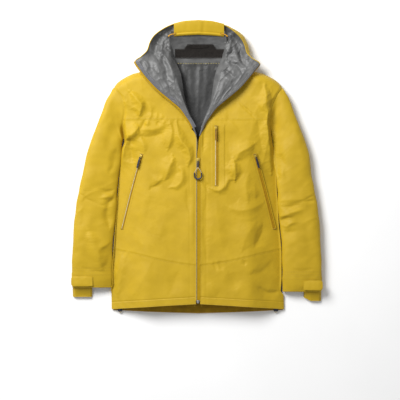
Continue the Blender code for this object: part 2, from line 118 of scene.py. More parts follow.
# The opening's rim from the foot of the V, up the zip edge, round the collar corner and the hood to its
# middle: rim x, y, z, then the x and y of the line where the lining dips out of sight.
OPENING = metres((
    (6.6, 99, 52, 3, 98.5), (23.6, 135.8, 56, 16.5, 145), (38.7, 159, 57.5, 27, 172),
    (56.7, 183.6, 59, 37, 198), (85.7, 209, 60, 43.5, 228), (134, 250, 60, 48, 262),
    (179, 302, 57, 55, 298), (197.5, 333, 54, 64, 320), (179, 349, 52, 72, 337), (160, 369, 50, 77, 350),
    (152, 393, 48, 78, 364), (140, 413, 48, 78, 380), (115, 433, 50, 74, 394), (77, 451, 53, 60, 402),
    (40, 459.5, 54, 30, 405), (0, 462, 54, 0, 406)))
# Height of the lining at those stations, at these shares of the way from the rim to the dip.
OPENING_SHARES = (0.0, 0.10, 0.28, 0.52, 0.80, 1.0)
OPENING_HEIGHTS = metres((
    (52, 52.2, 52.4, 52.4, 52, 50), (56, 57.5, 58.5, 59, 58.5, 50), (57.5, 59, 60.5, 61.5, 61, 48),
    (59, 60, 61.2, 62.5, 62.5, 45), (60, 60.5, 61.2, 63.2, 63.5, 42), (60, 60.2, 60.5, 63, 63, 38),
    (57, 57.2, 57.5, 60, 58, 33), (54, 53.5, 53, 55, 52, 28), (52, 49, 44, 48, 46, 23),
    (50, 43, 35, 43, 40, 19), (48, 37, 28, 38.5, 36, 17), (48, 34, 25, 34.5, 33, 18),
    (50, 39, 30, 33.5, 33, 22), (53, 44, 40, 37, 34, 28), (54, 47, 43, 38, 35, 31),
    (54, 48, 44, 39, 36, 32)))
COLLAR_START = 6.0        # station where the lapel meets the collar
HOOD_START = 8.6          # where the collar meets the hood
HOOD_END = 14.0           # where the hood side passes under the peak
HOOD_BEND = ((0.0, 0.298, 0.0), (0.0, 0.354, 0.0))
WITH_HOOD = ("torso", "hood", *HOOD_BEND)     # rows of stitches given this as bend are left where they are, attached to no body

# Sleeve stations from the armhole to the cuff: outer (x, y), inner (x, y), height of the tube.
SLEEVE = metres((
    ((250, 258), (233, 92), 34), ((266.8, 247.5), (239.5, 88), 37), ((290, 219.5), (240.5, 78), 39),
    ((299, 187), (241.5, 62), 40), ((325.5, 118), (243.5, 30), 42), ((349.5, 47.5), (247.5, -5), 42),
    ((365.5, -28), (253.5, -45), 41), ((373.5, -67), (257, -78), 41), ((381, -104), (261, -110), 40),
    ((387, -148), (266.5, -150), 40), ((390.5, -179), (270.5, -179), 40),
    ((395.5, -255), (276.5, -255), 38), ((397.5, -332), (278.5, -332), 34),
    ((397, -356), (279.5, -356), 31), ((396, -380), (280, -380), 25.5)))
ELBOW_STATION = 7
CUFF_STATION = 12


# ---- numbers -------------------------------------------------------------------
def curve(points, at):
    """Smooth value at the keys `at` of an outline of (key, value) points, with no overshoot."""
    keys, values = np.array(points, float).T
    at = np.clip(np.asarray(at, float), keys[0], keys[-1])
    steps = np.diff(keys)
    slopes = np.diff(values) / steps
    tangents = np.zeros(len(keys))
    same_way = slopes[1:] * slopes[:-1] > 0
    sums = np.where(same_way, slopes[1:] + slopes[:-1], 1.0)
    tangents[1:-1] = np.where(same_way, 2 * slopes[1:] * slopes[:-1] / sums, 0.0)
    tangents[0], tangents[-1] = slopes[0], slopes[-1]
    i = np.clip(np.searchsorted(keys, at) - 1, 0, len(steps) - 1)
    t = (at - keys[i]) / steps[i]
    ends = (1 + 2 * t) * (1 - t) ** 2 * values[i] + t * t * (3 - 2 * t) * values[i + 1]
    return ends + steps[i] * (t * (1 - t) ** 2 * tangents[i] + t * t * (t - 1) * tangents[i + 1])


def smooth(t):
    t = np.clip(t, 0.0, 1.0)
    return t * t * (3 - 2 * t)


def blend_values(low, high, share):
    return low + (high - low) * share


def smooth_path(points, spacing):
    """Points at an even spacing on a smooth curve through given points."""
    points = np.array(points, float)
    reach = np.concatenate([[0.0], np.cumsum(np.linalg.norm(np.diff(points, axis=0), axis=1))])
    at = np.linspace(0.0, reach[-1], max(2, int(reach[-1] / spacing) + 1))
    return np.stack([curve(np.stack([reach, column], 1), at) for column in points.T], 1)


def value_noise(x, y, size, seed):
    """Smooth random relief from -1 to 1 with lumps about `size` across."""
    cells = 64
    lattice = np.random.default_rng(seed).uniform(-1.0, 1.0, (cells, cells))
    u, v = np.asarray(x) / size + 31.4, np.asarray(y) / size + 27.8
    i, j = np.floor(u).astype(int), np.floor(v).astype(int)
    s, t = smooth(u - i), smooth(v - j)
    low = blend_values(lattice[i % cells, j % cells], lattice[(i + 1) % cells, j % cells], s)
    high = blend_values(lattice[i % cells, (j + 1) % cells], lattice[(i + 1) % cells, (j + 1) % cells], s)
    return blend_values(low, high, t)


def crumple(x, y, size, seed, turn=0.0, stretch=1.0):
    """Random creases: sharp ridges from 0 to 1, about `size` apart and longer along `turn`."""
    u = x * math.cos(turn) + y * math.sin(turn)
    v = y * math.cos(turn) - x * math.sin(turn)
    return (1.0 - np.abs(value_noise(u / stretch, v, size, seed))) ** 3


def fold_relief(x, y, folds):
    """Relief of listed folds. Each is (points, height, width on its left, width on its right)."""
    x, y = np.asarray(x, float), np.asarray(y, float)
    x, y = (x + WANDER * value_noise(x, y, 0.019, 7) + 0.35 * WANDER * value_noise(x, y, 0.007, 8),
            y + WANDER * value_noise(x, y, 0.019, 9) + 0.35 * WANDER * value_noise(x, y, 0.007, 10))
    relief = np.zeros(x.shape)
    for points, height, left, right in folds:
        line = smooth_path(points, 0.003)
        reach = 5.0 * max(left, right)
        low, high = line.min(0) - reach, line.max(0) + reach
        near = (x > low[0]) & (x < high[0]) & (y > low[1]) & (y < high[1])
        if not near.any():
            continue
        place = np.stack([x[near], y[near]], -1)
        offset = place[:, None, :] - line[None]
        square = (offset ** 2).sum(-1)
        closest = square.argmin(1)
        heading = np.gradient(line, axis=0)[closest]
        arm = offset[np.arange(len(closest)), closest]
        on_left = heading[:, 0] * arm[:, 1] - heading[:, 1] * arm[:, 0] > 0
        width = np.where(on_left, left, right)
        length = np.maximum(np.linalg.norm(arm, axis=1), 1e-9)
        uphill = (arm @ UPHILL) / length * (1 if height > 0 else -1)
        width = width * (1.0 + LEAN * np.clip(uphill, 0.0, 1.0))
        taper = np.sin(np.pi * np.clip(closest / (len(line) - 1), 0.03, 0.97)) ** 0.7
        away = np.sqrt(square.min(1) + CREASE ** 2) - CREASE
        rest = FOOT * (1.0 - away / (FOLD_REACH * width * taper))
        tent = np.log1p(np.exp(np.clip(rest, -30, 30))) / FOOT
        relief[near] += height * taper * tent
    return relief


# ---- meshes --------------------------------------------------------------------
def quad_faces(rows, cols, start=0, flip=False):
    i, j = np.meshgrid(np.arange(rows - 1), np.arange(cols - 1), indexing="ij")
    corner = (i * cols + j).ravel() + start
    quads = np.stack([corner, corner + 1, corner + cols + 1, corner + cols], 1)
    return quads[:, ::-1] if flip else quads


def grid_normals(points):
    across = np.gradient(points, axis=1)
    along = np.gradient(points, axis=0)
    normal = np.cross(across, along)
    return normal / np.maximum(np.linalg.norm(normal, axis=-1, keepdims=True), 1e-12)


def make_mesh(name, points, faces, materials, indices=None, sharp=50):
    """One object from vertices and faces, shaded smooth with sharp edges kept."""
    mesh = bpy.data.meshes.new(name)
    mesh.from_pydata(np.asarray(points, float).reshape(-1, 3).tolist(), [],
                     [tuple(map(int, f)) for f in faces])
    for material in materials:
        mesh.materials.append(material)
    if indices is not None:
        mesh.polygons.foreach_set("material_index", np.asarray(indices, np.int32))
    mesh.shade_smooth()
    mesh.set_sharp_from_angle(angle=math.radians(sharp))
    mesh.update()
    made = bpy.data.objects.new(name, mesh)
    bpy.context.scene.collection.objects.link(made)
    return made


def cloth(name, points, outside, inside=None, thick=CLOTH, centre=None):
    """A sheet of cloth with two faces and closed edges, from a grid of points on its outer face.

    The outer face looks up, or away from `centre` where that is given."""
    points = np.asarray(points, float)
    rows, cols = points.shape[:2]
    normal = grid_normals(points)
    outward = np.array((0.0, 0.0, 1.0)) if centre is None else points - np.array(centre, float)
    flip = float((normal * outward).sum()) < 0
    if flip:
        normal = -normal
    count = rows * cols
    vertices = np.concatenate([points.reshape(-1, 3), (points - normal * thick).reshape(-1, 3)])
    index = np.arange(count).reshape(rows, cols)
    rim = np.concatenate([index[0], index[1:, -1], index[-1, -2::-1], index[-2:0:-1, 0]])
    following = np.roll(rim, -1)
    edges = np.stack([following, rim, rim + count, following + count], 1)
    if flip:
        edges = edges[:, ::-1]
    outer = quad_faces(rows, cols, 0, flip)
    inner = quad_faces(rows, cols, count, not flip)
    faces = np.concatenate([outer, inner, edges])
    looks = [outside] if inside is None else [outside, inside]
    indices = np.concatenate([np.zeros(len(outer)), np.full(len(inner), len(looks) - 1),
                              np.zeros(len(edges))])
    return make_mesh(name, vertices, faces, looks, indices)


def ring_solid(name, rings, material, inside_rows, inside):
    """A closed skin through rings of points that meet end to start, such as a sleeve turned in at its end."""
    rings = np.asarray(rings, float)
    rows, cols = rings.shape[:2]
    i, j = np.meshgrid(np.arange(rows), np.arange(cols), indexing="ij")
    a = i * cols + j
    b = i * cols + (j + 1) % cols
    c = ((i + 1) % rows) * cols + (j + 1) % cols
    d = ((i + 1) % rows) * cols + j
    faces = np.stack([a, b, c, d], -1).reshape(-1, 4)
    flat = rings.reshape(-1, 3)
    p, q, r, s = (flat[faces[:, n]] for n in range(4))
    volume = (np.cross(q - p, r - p) * p).sum() + (np.cross(r - p, s - p) * p).sum()
    if volume < 0:
        faces = faces[:, ::-1]
    indices = (np.repeat(np.arange(rows), cols) >= inside_rows).astype(int)
    return make_mesh(name, flat, faces, [material, inside], indices, 60)


def tube(name, path, radius, material, sides):
    """A solid cord or moulded bar along a path, with rounded ends. radius may change along it."""
    path = np.asarray(path, float)
    radius = np.broadcast_to(np.asarray(radius, float), (len(path),)).copy()
    tangent = np.gradient(path, axis=0)
    tangent /= np.linalg.norm(tangent, axis=1, keepdims=True)
    across = np.zeros_like(path)
    across[0] = np.cross(tangent[0], (0.0, 0.0, 1.0))
    if np.linalg.norm(across[0]) < 1e-3:
        across[0] = (1.0, 0.0, 0.0)
    across[0] /= np.linalg.norm(across[0])
    for n in range(1, len(path)):
        turned = across[n - 1] - tangent[n] * (across[n - 1] @ tangent[n])
        across[n] = turned / np.linalg.norm(turned)
    rise = np.cross(across, tangent)
    angle = np.linspace(0, 2 * math.pi, sides, endpoint=False)
    sideways = across[:, None] * np.cos(angle)[None, :, None]
    spoke = sideways + rise[:, None] * np.sin(angle)[None, :, None]
    rows = [path[0] + spoke[0] * radius[0] * f - tangent[0] * radius[0] * g
            for f, g in ((0.45, 0.75), (0.85, 0.4))]
    rows += [path[n] + spoke[n] * radius[n] for n in range(len(path))]
    rows += [path[-1] + spoke[-1] * radius[-1] * f + tangent[-1] * radius[-1] * g
             for f, g in ((0.85, 0.4), (0.45, 0.75))]
    rows = np.array(rows)
    count = len(rows)
    i, j = np.meshgrid(np.arange(count - 1), np.arange(sides), indexing="ij")
    a, b = i * sides + j, i * sides + (j + 1) % sides
    faces = np.stack([a, b, b + sides, a + sides], -1).reshape(-1, 4).tolist()
    faces.append(list(range(sides))[::-1])
    faces.append([(count - 1) * sides + n for n in range(sides)])
    solid = make_mesh(name, rows, faces, [material], None, 60)
    face_outward(solid)
    return solid


def face_outward(solid):
    """Turns a closed mesh's faces outward."""
    work = bmesh.new()
    work.from_mesh(solid.data)
    bmesh.ops.recalc_face_normals(work, faces=work.faces)
    work.to_mesh(solid.data)
    work.free()
    solid.data.update()


def path_frames(path):
    """Directions along, across and out of a path that lies on a surface."""
    along = np.gradient(np.asarray(path, float), axis=0)
    along /= np.maximum(np.linalg.norm(along, axis=1, keepdims=True), 1e-12)
    across = np.cross(np.broadcast_to((0.0, 0.0, 1.0), along.shape), along)
    across /= np.maximum(np.linalg.norm(across, axis=1, keepdims=True), 1e-12)
    return along, across, np.cross(along, across)


def beads(name, centres, frames, sizes, material):
    """A row of small closed lumps, such as stitches or zip teeth, as one object."""
    along, across, out = frames
    half_length, half_width, half_height = sizes
    spots = []
    for share, wide, high in ((-1, 0, 0), (-0.55, 1, 0), (-0.55, 0, 1), (-0.55, -1, 0), (-0.55, 0, -1),
                              (0.55, 1, 0), (0.55, 0, 1), (0.55, -1, 0), (0.55, 0, -1), (1, 0, 0)):
        spots.append(centres + along * share * half_length + across * wide * half_width
                     + out * high * half_height)
    vertices = np.stack(spots, 1)
    pattern = [(0, 2, 1), (0, 3, 2), (0, 4, 3), (0, 1, 4), (9, 5, 6), (9, 6, 7), (9, 7, 8), (9, 8, 5),
               (1, 2, 6, 5), (2, 3, 7, 6), (3, 4, 8, 7), (4, 1, 5, 8)]
    faces = [tuple(corner + 10 * n for corner in face) for n in range(len(centres)) for face in pattern]
    return make_mesh(name, vertices, faces, [material], None, 80)


def join(name, *objects):
    """Several shapes as one object."""
    bpy.ops.object.select_all(action="DESELECT")
    for made in objects:
        made.select_set(True)
    bpy.context.view_layer.objects.active = objects[0]
    bpy.ops.object.join()
    objects[0].name = name
    objects[0].data.name = name
    return objects[0]


def plate(name, outline, low, high, bevel, material, hole=None):
    """A flat part cut to an outline in its own x and y, with a rounded upper edge and an optional hole."""
    work = bmesh.new()
    loops = [outline] if hole is None else [outline, hole]
    edges = []
    for loop in loops:
        corners = [work.verts.new((x, y, low)) for x, y in loop]
        edges += [work.edges.new((corners[n], corners[(n + 1) % len(corners)])) for n in range(len(corners))]
    filled = bmesh.ops.triangle_fill(work, use_beauty=True, use_dissolve=False, edges=edges)
    base = [f for f in filled["geom"] if isinstance(f, bmesh.types.BMFace)]
    raised = bmesh.ops.extrude_face_region(work, geom=base, use_keep_orig=True)["geom"]
    bmesh.ops.translate(work, vec=(0, 0, high - low),
                        verts=[v for v in raised if isinstance(v, bmesh.types.BMVert)])
    bmesh.ops.recalc_face_normals(work, faces=work.faces)
    corners = [e for e in work.edges if e.is_manifold and e.calc_face_angle() > 1.2]
    bmesh.ops.bevel(work, geom=corners, offset=bevel, segments=3, affect="EDGES", profile=0.5)
    mesh = bpy.data.meshes.new(name)
    work.to_mesh(mesh)
    work.free()
    mesh.materials.append(material)
    mesh.shade_smooth()
    mesh.set_sharp_from_angle(angle=math.radians(40))
    made = bpy.data.objects.new(name, mesh)
    bpy.context.scene.collection.objects.link(made)
    return made


def rounded(half_x, half_y, radius, centre=(0.0, 0.0), corner=5):
    """Outline of a rectangle with round corners."""
    points = []
    for turn, (sx, sy) in enumerate(((1, 1), (-1, 1), (-1, -1), (1, -1))):
        for n in range(corner + 1):
            angle = math.pi / 2 * (turn + n / corner)
            points.append((centre[0] + sx * (half_x - radius) + radius * math.cos(angle),
                           centre[1] + sy * (half_y - radius) + radius * math.sin(angle)))
    return points


def mirrored(right, first):
    """A closed outline from its right half, listed downwards, that starts `first` points before that half."""
    left = [(-x, y) for x, y in reversed(right)]
    return [*left[-first:], *right, *left[:-first]]


# ---- materials -----------------------------------------------------------------
def new_material(name, roughness, metallic=0.0, specular=0.5, sheen=0.0, coat=0.0):
    """A material with one even surface, before its colour and relief are added."""
    made = bpy.data.materials.new(name)
    made.use_nodes = True
    shader = made.node_tree.nodes["Principled BSDF"]
    shader.inputs["Roughness"].default_value = roughness
    shader.inputs["Metallic"].default_value = metallic
    shader.inputs["Specular IOR Level"].default_value = specular
    shader.inputs["Sheen Weight"].default_value = sheen
    shader.inputs["Coat Weight"].default_value = coat
    return made


def add_node(tree, kind, **values):
    node = tree.nodes.new(kind)
    for key, value in values.items():
        if key in node.inputs:
            node.inputs[key].default_value = value
        else:
            setattr(node, key, value)
    return node


def place_node(material):
    """The object coordinates of a material, made once."""
    tree = material.node_tree
    found = tree.nodes.get("Place")
    if found is None:
        found = tree.nodes.new("ShaderNodeTexCoord")
        found.name = "Place"
    return found.outputs["Object"]


def colour_by_noise(material, dark, light, scale):
    """Base colour that drifts between two shades."""
    tree = material.node_tree
    noise = add_node(tree, "ShaderNodeTexNoise", Scale=scale, Detail=3.0)
    ramp = tree.nodes.new("ShaderNodeValToRGB")
    ramp.color_ramp.elements[0].position, ramp.color_ramp.elements[1].position = (0.35, 0.65)
    ramp.color_ramp.elements[0].color = (*dark, 1.0)
    ramp.color_ramp.elements[1].color = (*light, 1.0)
    tree.links.new(place_node(material), noise.inputs["Vector"])
    tree.links.new(noise.outputs["Fac"], ramp.inputs["Fac"])
    tree.links.new(ramp.outputs["Color"], tree.nodes["Principled BSDF"].inputs["Base Color"])


def roughness_by_noise(material, low, high, scale):
    tree = material.node_tree
    noise = add_node(tree, "ShaderNodeTexNoise", Scale=scale, Detail=4.0)
    spread = tree.nodes.new("ShaderNodeMapRange")
    spread.inputs["To Min"].default_value = low
    spread.inputs["To Max"].default_value = high
    tree.links.new(place_node(material), noise.inputs["Vector"])
    tree.links.new(noise.outputs["Fac"], spread.inputs["Value"])
    tree.links.new(spread.outputs["Result"], tree.nodes["Principled BSDF"].inputs["Roughness"])


def add_bump(material, height, distance, strength=1.0):
    """Adds a relief on top of the relief that the material has."""
    tree = material.node_tree
    bump = tree.nodes.new("ShaderNodeBump")
    bump.inputs["Distance"].default_value = distance
    bump.inputs["Strength"].default_value = strength
    tree.links.new(height, bump.inputs["Height"])
    target = tree.nodes["Principled BSDF"].inputs["Normal"]
    if target.is_linked:
        tree.links.new(target.links[0].from_socket, bump.inputs["Normal"])
    tree.links.new(bump.outputs["Normal"], target)


def weave(material, pitch, distance, strength=0.5, slant=0.0):
    """Relief of threads crossing at right angles, `pitch` apart."""
    tree = material.node_tree
    turned = tree.nodes.new("ShaderNodeMapping")
    turned.inputs["Rotation"].default_value = (0.0, 0.0, slant)
    tree.links.new(place_node(material), turned.inputs["Vector"])
    waves = []
    for direction in ("X", "Y"):
        wave = add_node(tree, "ShaderNodeTexWave", bands_direction=direction, Scale=math.pi / (10 * pitch))
        tree.links.new(turned.outputs["Vector"], wave.inputs["Vector"])
        waves.append(wave.outputs["Fac"])
    crossing = add_node(tree, "ShaderNodeMath", operation="MAXIMUM")
    tree.links.new(waves[0], crossing.inputs[0])
    tree.links.new(waves[1], crossing.inputs[1])
    add_bump(material, crossing.outputs[0], distance, strength)


def grain(material, scale, distance, strength, detail=5.0):
    """Relief of an uneven surface, such as creased cloth or moulded plastic."""
    tree = material.node_tree
    noise = add_node(tree, "ShaderNodeTexNoise", Scale=scale, Detail=detail)
    tree.links.new(place_node(material), noise.inputs["Vector"])
    add_bump(material, noise.outputs["Fac"], distance, strength)


def face_cloth():
    made = new_material("yellow_face_cloth", 0.62, specular=0.34, sheen=0.02)
    colour_by_noise(made, (0.465, 0.300, 0.0055), (0.505, 0.328, 0.0075), 26.0)
    roughness_by_noise(made, 0.54, 0.68, 90.0)
    grain(made, 45.0, 0.0012, 0.22, 3.0)
    grain(made, 420.0, 0.0002, 0.25)
    weave(made, 0.0011, 0.00012, 0.5)
    return made


def lining_cloth(name, dark, light):
    made = new_material(name, 0.46, specular=0.45)
    colour_by_noise(made, dark, light, 40.0)
    roughness_by_noise(made, 0.38, 0.56, 70.0)
    grain(made, 60.0, 0.0022, 0.60, 4.0)
    grain(made, 260.0, 0.0004, 0.4)
    weave(made, 0.0013, 0.00010, 0.4, 0.785)
    return made


def facing_tape():
    made = new_material("grey_facing_tape", 0.5, specular=0.4)
    colour_by_noise(made, (0.085, 0.085, 0.095), (0.110, 0.110, 0.120), 60.0)
    weave(made, 0.0010, 0.00015, 0.7, 0.3)
    grain(made, 150.0, 0.0006, 0.3)
    return made


def hem_cloth():
    made = new_material("ochre_hem_facing", 0.75, specular=0.3)
    colour_by_noise(made, (0.330, 0.185, 0.003), (0.430, 0.250, 0.005), 55.0)
    grain(made, 90.0, 0.0015, 0.4, 3.0)
    weave(made, 0.0012, 0.00018, 0.7)
    return made


def tape_cloth():
    made = new_material("ochre_zip_tape", 0.7, specular=0.15)
    colour_by_noise(made, (0.360, 0.210, 0.0), (0.400, 0.235, 0.001), 120.0)
    weave(made, 0.0008, 0.00014, 0.8)
    return made


def laminated_tape(name, dark, light):
    made = new_material(name, 0.45, specular=0.25)
    colour_by_noise(made, dark, light, 150.0)
    grain(made, 300.0, 0.0002, 0.4)
    return made


def coil_plastic():
    made = new_material("zip_coil", 0.35, specular=0.5)
    colour_by_noise(made, (0.430, 0.270, 0.012), (0.520, 0.340, 0.024), 300.0)
    grain(made, 900.0, 0.0001, 0.4)
    return made


def label_cloth():
    made = new_material("woven_label", 0.6, specular=0.25, sheen=0.05)
    colour_by_noise(made, (0.010, 0.008, 0.0065), (0.018, 0.0145, 0.012), 200.0)
    weave(made, 0.0007, 0.00016, 0.9)
    return made


def moulded_plastic(name, dark, light, roughness):
    made = new_material(name, roughness, specular=0.5)
    colour_by_noise(made, dark, light, 180.0)
    roughness_by_noise(made, roughness - 0.08, roughness + 0.10, 250.0)
    grain(made, 700.0, 0.00012, 0.5)
    return made


def painted_metal():
    made = new_material("painted_slider", 0.38, metallic=0.35, specular=0.5, coat=0.3)
    colour_by_noise(made, (0.420, 0.290, 0.030), (0.520, 0.370, 0.050), 220.0)
    roughness_by_noise(made, 0.28, 0.48, 300.0)
    grain(made, 800.0, 0.0001, 0.4)
    return made


def bare_metal():
    made = new_material("zip_stop_metal", 0.35, metallic=0.9, specular=0.5)
    colour_by_noise(made, (0.33, 0.32, 0.30), (0.45, 0.44, 0.42), 300.0)
    grain(made, 900.0, 0.0001, 0.5)
    return made


def braided_cord(name, dark, light):
    made = new_material(name, 0.7, specular=0.3, sheen=0.2)
    colour_by_noise(made, dark, light, 400.0)
    weave(made, 0.0009, 0.0002, 1.0, 0.785)
    return made


def thread(name, dark, light):
    made = new_material(name, 0.5, specular=0.4, sheen=0.2)
    colour_by_noise(made, dark, light, 500.0)
    grain(made, 1500.0, 0.0001, 0.6)
    return made


def mesh_pocket():
    made = new_material("pocket_mesh", 0.7, specular=0.3)
    colour_by_noise(made, (0.20, 0.20, 0.20), (0.27, 0.27, 0.27), 90.0)
    weave(made, 0.0018, 0.0003, 1.0)
    return made


FACE = face_cloth()
LINING = lining_cloth("grey_lining", (0.096, 0.096, 0.0945), (0.134, 0.134, 0.132))
# A darker copy of the grey lining: painted shade for the lining deep inside the opening, on the back panel
# and the neck band.
PAINTED_SHADE_LINING = lining_cloth("grey_lining_painted_shade", (0.038, 0.038, 0.0375), (0.053, 0.053, 0.052))
FACING = facing_tape()
HEM_FACING = hem_cloth()
TAPE = tape_cloth()
COIL = coil_plastic()
LABEL = label_cloth()
POCKET_MESH = mesh_pocket()
# A pale cream copy of the ochre laminated tape: a painted reflection on the glossy lip.
PAINTED_REFLECTION_ZIP = laminated_tape("laminated_zip_painted_reflection", (0.52, 0.41, 0.17), (0.64, 0.53, 0.28))
OCHRE_ZIP = laminated_tape("ochre_laminated_zip", (0.29, 0.155, 0.001), (0.35, 0.19, 0.0015))
PALE_TAPE = laminated_tape("pale_zip_edge", (0.28, 0.21, 0.075), (0.34, 0.26, 0.10))
DARK_PLASTIC = moulded_plastic("dark_moulded_plastic", (0.016, 0.016, 0.026), (0.030, 0.030, 0.045), 0.42)
OCHRE_PLASTIC = moulded_plastic("ochre_moulded_plastic", (0.20, 0.105, 0.004), (0.28, 0.15, 0.008), 0.42)
SLIDER_PAINT = painted_metal()
STOP_METAL = bare_metal()
PALE_CORD = braided_cord("pale_pull_cord", (0.42, 0.32, 0.16), (0.56, 0.46, 0.28))
ORANGE_CORD = braided_cord("orange_hood_cord", (0.52, 0.23, 0.006), (0.66, 0.33, 0.012))
YELLOW_THREAD = thread("yellow_thread", (0.36, 0.23, 0.008), (0.44, 0.29, 0.012))
PALE_THREAD = thread("pale_yellow_thread", (0.34, 0.27, 0.09), (0.46, 0.38, 0.14))
GREY_THREAD = thread("grey_thread", (0.26, 0.26, 0.26), (0.34, 0.34, 0.34))
DARK_THREAD = thread("dark_thread", (0.07, 0.065, 0.06), (0.10, 0.095, 0.09))

# ---- front of the body -----------------------------------------------------------
# Folds of the front: points, height (valleys are negative), width to the left and right of the line.
FRONT_FOLDS = metres({
    "right": (
        (((-214, 238), (-200.4, 223.2), (-181, 196), (-178.8, 180), (-186.6, 156.3)), 8.2, 12, 12),
        (((-168, 204), (-166, 186), (-175, 162)), -2, 6, 10),
        (((-158, 206), (-149.5, 184), (-146, 172)), 1.6, 8, 6),
        (((-143.3, 174), (-151.2, 154)), 1.6, 4, 4),
        (((-126, 174), (-132, 152)), 1.3, 4, 4),
        (((-112, 170), (-116, 152)), 1, 4, 4),
        (((-166, 147), (-176, 128), (-190, 116)), -2.6, 4, 6),
        (((-155, 146), (-158, 128)), 2.2, 4, 4),
        (((-125, 146), (-130, 132)), -1.8, 3, 4),
        (((-104, 146), (-108, 134)), 1.4, 3, 4),
        (((-180, 124), (-186.6, 120.8), (-206, 106), (-218.1, 97.2), (-230.6, 88)), 9.2, 12, 12),
        (((-215, 96), (-214, 70), (-211, 44), (-204, 10)), -8, 13, 20),
        (((-183, 96), (-174, 70), (-170, 44)), 2.6, 8, 12),
        (((-176, 115), (-130, 123), (-82, 140)), 3, 14, 7),
        (((-183.7, 97.5), (-144.9, 95.5), (-105.5, 108)), -3.8, 9, 13),
        (((-88, 143), (-84.3, 109), (-90, 77.5), (-98, 52)), 5, 9, 10),
        (((-66.5, 142), (-60.6, 109), (-50.8, 81.5), (-33.1, 57.8), (-25.2, 30), (-33, 4)), 7.8, 12, 10),
        (((-78.8, 38), (-84, 18), (-91.4, 0.4), (-107.1, -40)), 6.2, 12, 10),
        (((-63, 6), (-48.9, -18.6), (-52, -40.6), (-66.2, -57.9), (-90, -68)), 4.2, 9, 7),
        (((-112, -30), (-128, -48), (-142, -58)), 2.8, 6, 9),
        (((-118, -44), (-136, -60), (-156, -70)), -2.4, 6, 8),
        (((-222.1, -270), (-237.8, -312.3), (-249.6, -371.3), (-253, -408)), 4.4, 14, 10),
        (((-238, -266), (-250, -310), (-260, -360)), 2.4, 6, 8),
        (((-34, -66), (-28, -144)), -1.8, 6, 8),
        (((-100, -120), (-120, -220)), 1.8, 26, 30),
        (((-148, -100), (-164, -180), (-164, -250)), -2.2, 20, 24),
        (((-60, -330), (-90, -400)), -2, 14, 18),
        (((-150, -300), (-178, -360), (-210, -406)), 2.2, 22, 20)),
    "left": (
        (((30, 132), (18, 100), (16, 50)), -3.4, 6, 8),
        (((211, 258.7), (215, 223.2), (211, 195.7), (218.9, 172), (219, 140)), 8, 15, 10),
        (((227, 245), (231, 210), (229, 175)), -3, 6, 6),
        (((219, 156), (221.5, 110), (227, 40), (232, -20)), 7.2, 10, 14),
        (((190, 146), (196, 106), (204, 56)), -3, 10, 12),
        (((179, 76), (142, 52), (112.6, 21)), 6.6, 15, 10),
        (((111, 29), (116.5, -6), (118.1, -47)), 8.2, 11, 9),
        (((104, 20), (106, -10), (108, -34)), 2.6, 7, 6),
        (((116.6, -40.6), (97.7, -39), (85, -62.7), (66.2, -75.3), (34.7, -65.8)), 4.4, 6, 7),
        (((10, -36), (24, -56), (30, -80)), -2.2, 4, 5),
        (((162, -20), (150, -64), (158, -110)), 3.4, 15, 12),
        (((178, -60), (182, -100)), 2.2, 8, 10),
        (((94, -126), (129.2, -137), (173.3, -130), (206, -108)), 3.2, 16, 14),
        (((120, -162), (154, -164), (186, -156)), 1.2, 12, 12),
        (((180, -176), (160, -206), (146, -238), (138, -264)), 3.6, 20, 14),
        (((204, -176), (196, -220), (180, -250)), -3.6, 10, 10),
        (((258.3, -390), (226.8, -400), (187.4, -380)), -3.2, 8, 7),
        (((230, -300), (200, -330), (160, -338)), -2.4, 14, 12),
        (((52, -296), (60, -328)), -1.6, 4, 5),
        (((66, -296), (80, -326)), -1.6, 4, 5),
        (((142, -290), (146, -312)), -1.6, 4, 5),
        (((27, -90), (22, -180), (24, -290)), -2, 7, 10),
        (((56, -110), (64, -190), (76, -260)), 1.8, 20, 22),
        (((85, 120), (100, 40)), -1.6, 14, 16),
        (((100, -330), (120, -390)), -2.4, 16, 18),
        (((40, -360), (56, -410)), 1.6, 12, 14)),
})
# The front sinks a little under the turned-out lapel.
LAPEL_HOLLOW = metres({
    "left": (((30, 140), (56.7, 183.6), (85.7, 209), (134, 250), (176, 296)), -15, 30, 30),
    "right": (((-30, 140), (-56.7, 183.6), (-85.7, 209), (-134, 250)), -3, 10, 10),
})
YOKE_SLANT = ((0.127, 0.208), (0.158, 0.178), (0.1846, 0.1500))
HAND_ZIP = ((0.1780, 0.0410), (0.2400, -0.1950))
HAND_ZIP_MIDDLE = (0.2100, -0.0760)
CHEST_ZIP = ((0.0567, 0.1300), (0.0567, -0.0580))
WELT_OFFSET = 0.0085
CHEST_WELT = (0.0434, 0.0834)    # edges of the sewn-on strip around the chest zip
PLACKET_EDGE = 0.0262     # stitched edge beside the front zip
SEAM_DEPTH = 0.0010
SEAM_WIDTH = 0.0014
CREASE = 0.0014           # how round the crest of a fold is
FOLD_REACH = 1.55         # distance to the foot of a fold, against its width
FOOT = 5.0                # how suddenly a fold ends at its foot
WANDER = 0.0028           # how far the line of a fold strays
LEAN = 0.9                # how much gentler a fold is on its uphill side
UPHILL = np.array((-0.72, 0.69))
FOLD_DEPTH = 1.50         # factor on the heights of the listed folds


def side_x(side, y):
    return curve(SIDE_LINE[side], y)


def roll_x(y):
    return curve(ROLL_LINE, y)


def seam_y(seam, x):
    return curve(seam, np.abs(x))


def channel_y(x):
    return seam_y(HEM_EDGE, x) + HEM_DEPTH


def groove(distance, depth=SEAM_DEPTH, width=SEAM_WIDTH):
    return -depth * np.exp(-(distance / width) ** 2)


def lapped(distance, depth=SEAM_DEPTH):
    """Relief of a lapped seam: the cloth above it ends on top of the cloth below it."""
    above = 0.5 * (1.0 + np.tanh(distance / 0.0007))
    over = above * np.exp(-np.maximum(distance, 0.0) / 0.010)
    return depth * (over - 0.35 * (1.0 - above) * np.exp(np.minimum(distance, 0.0) / 0.004))


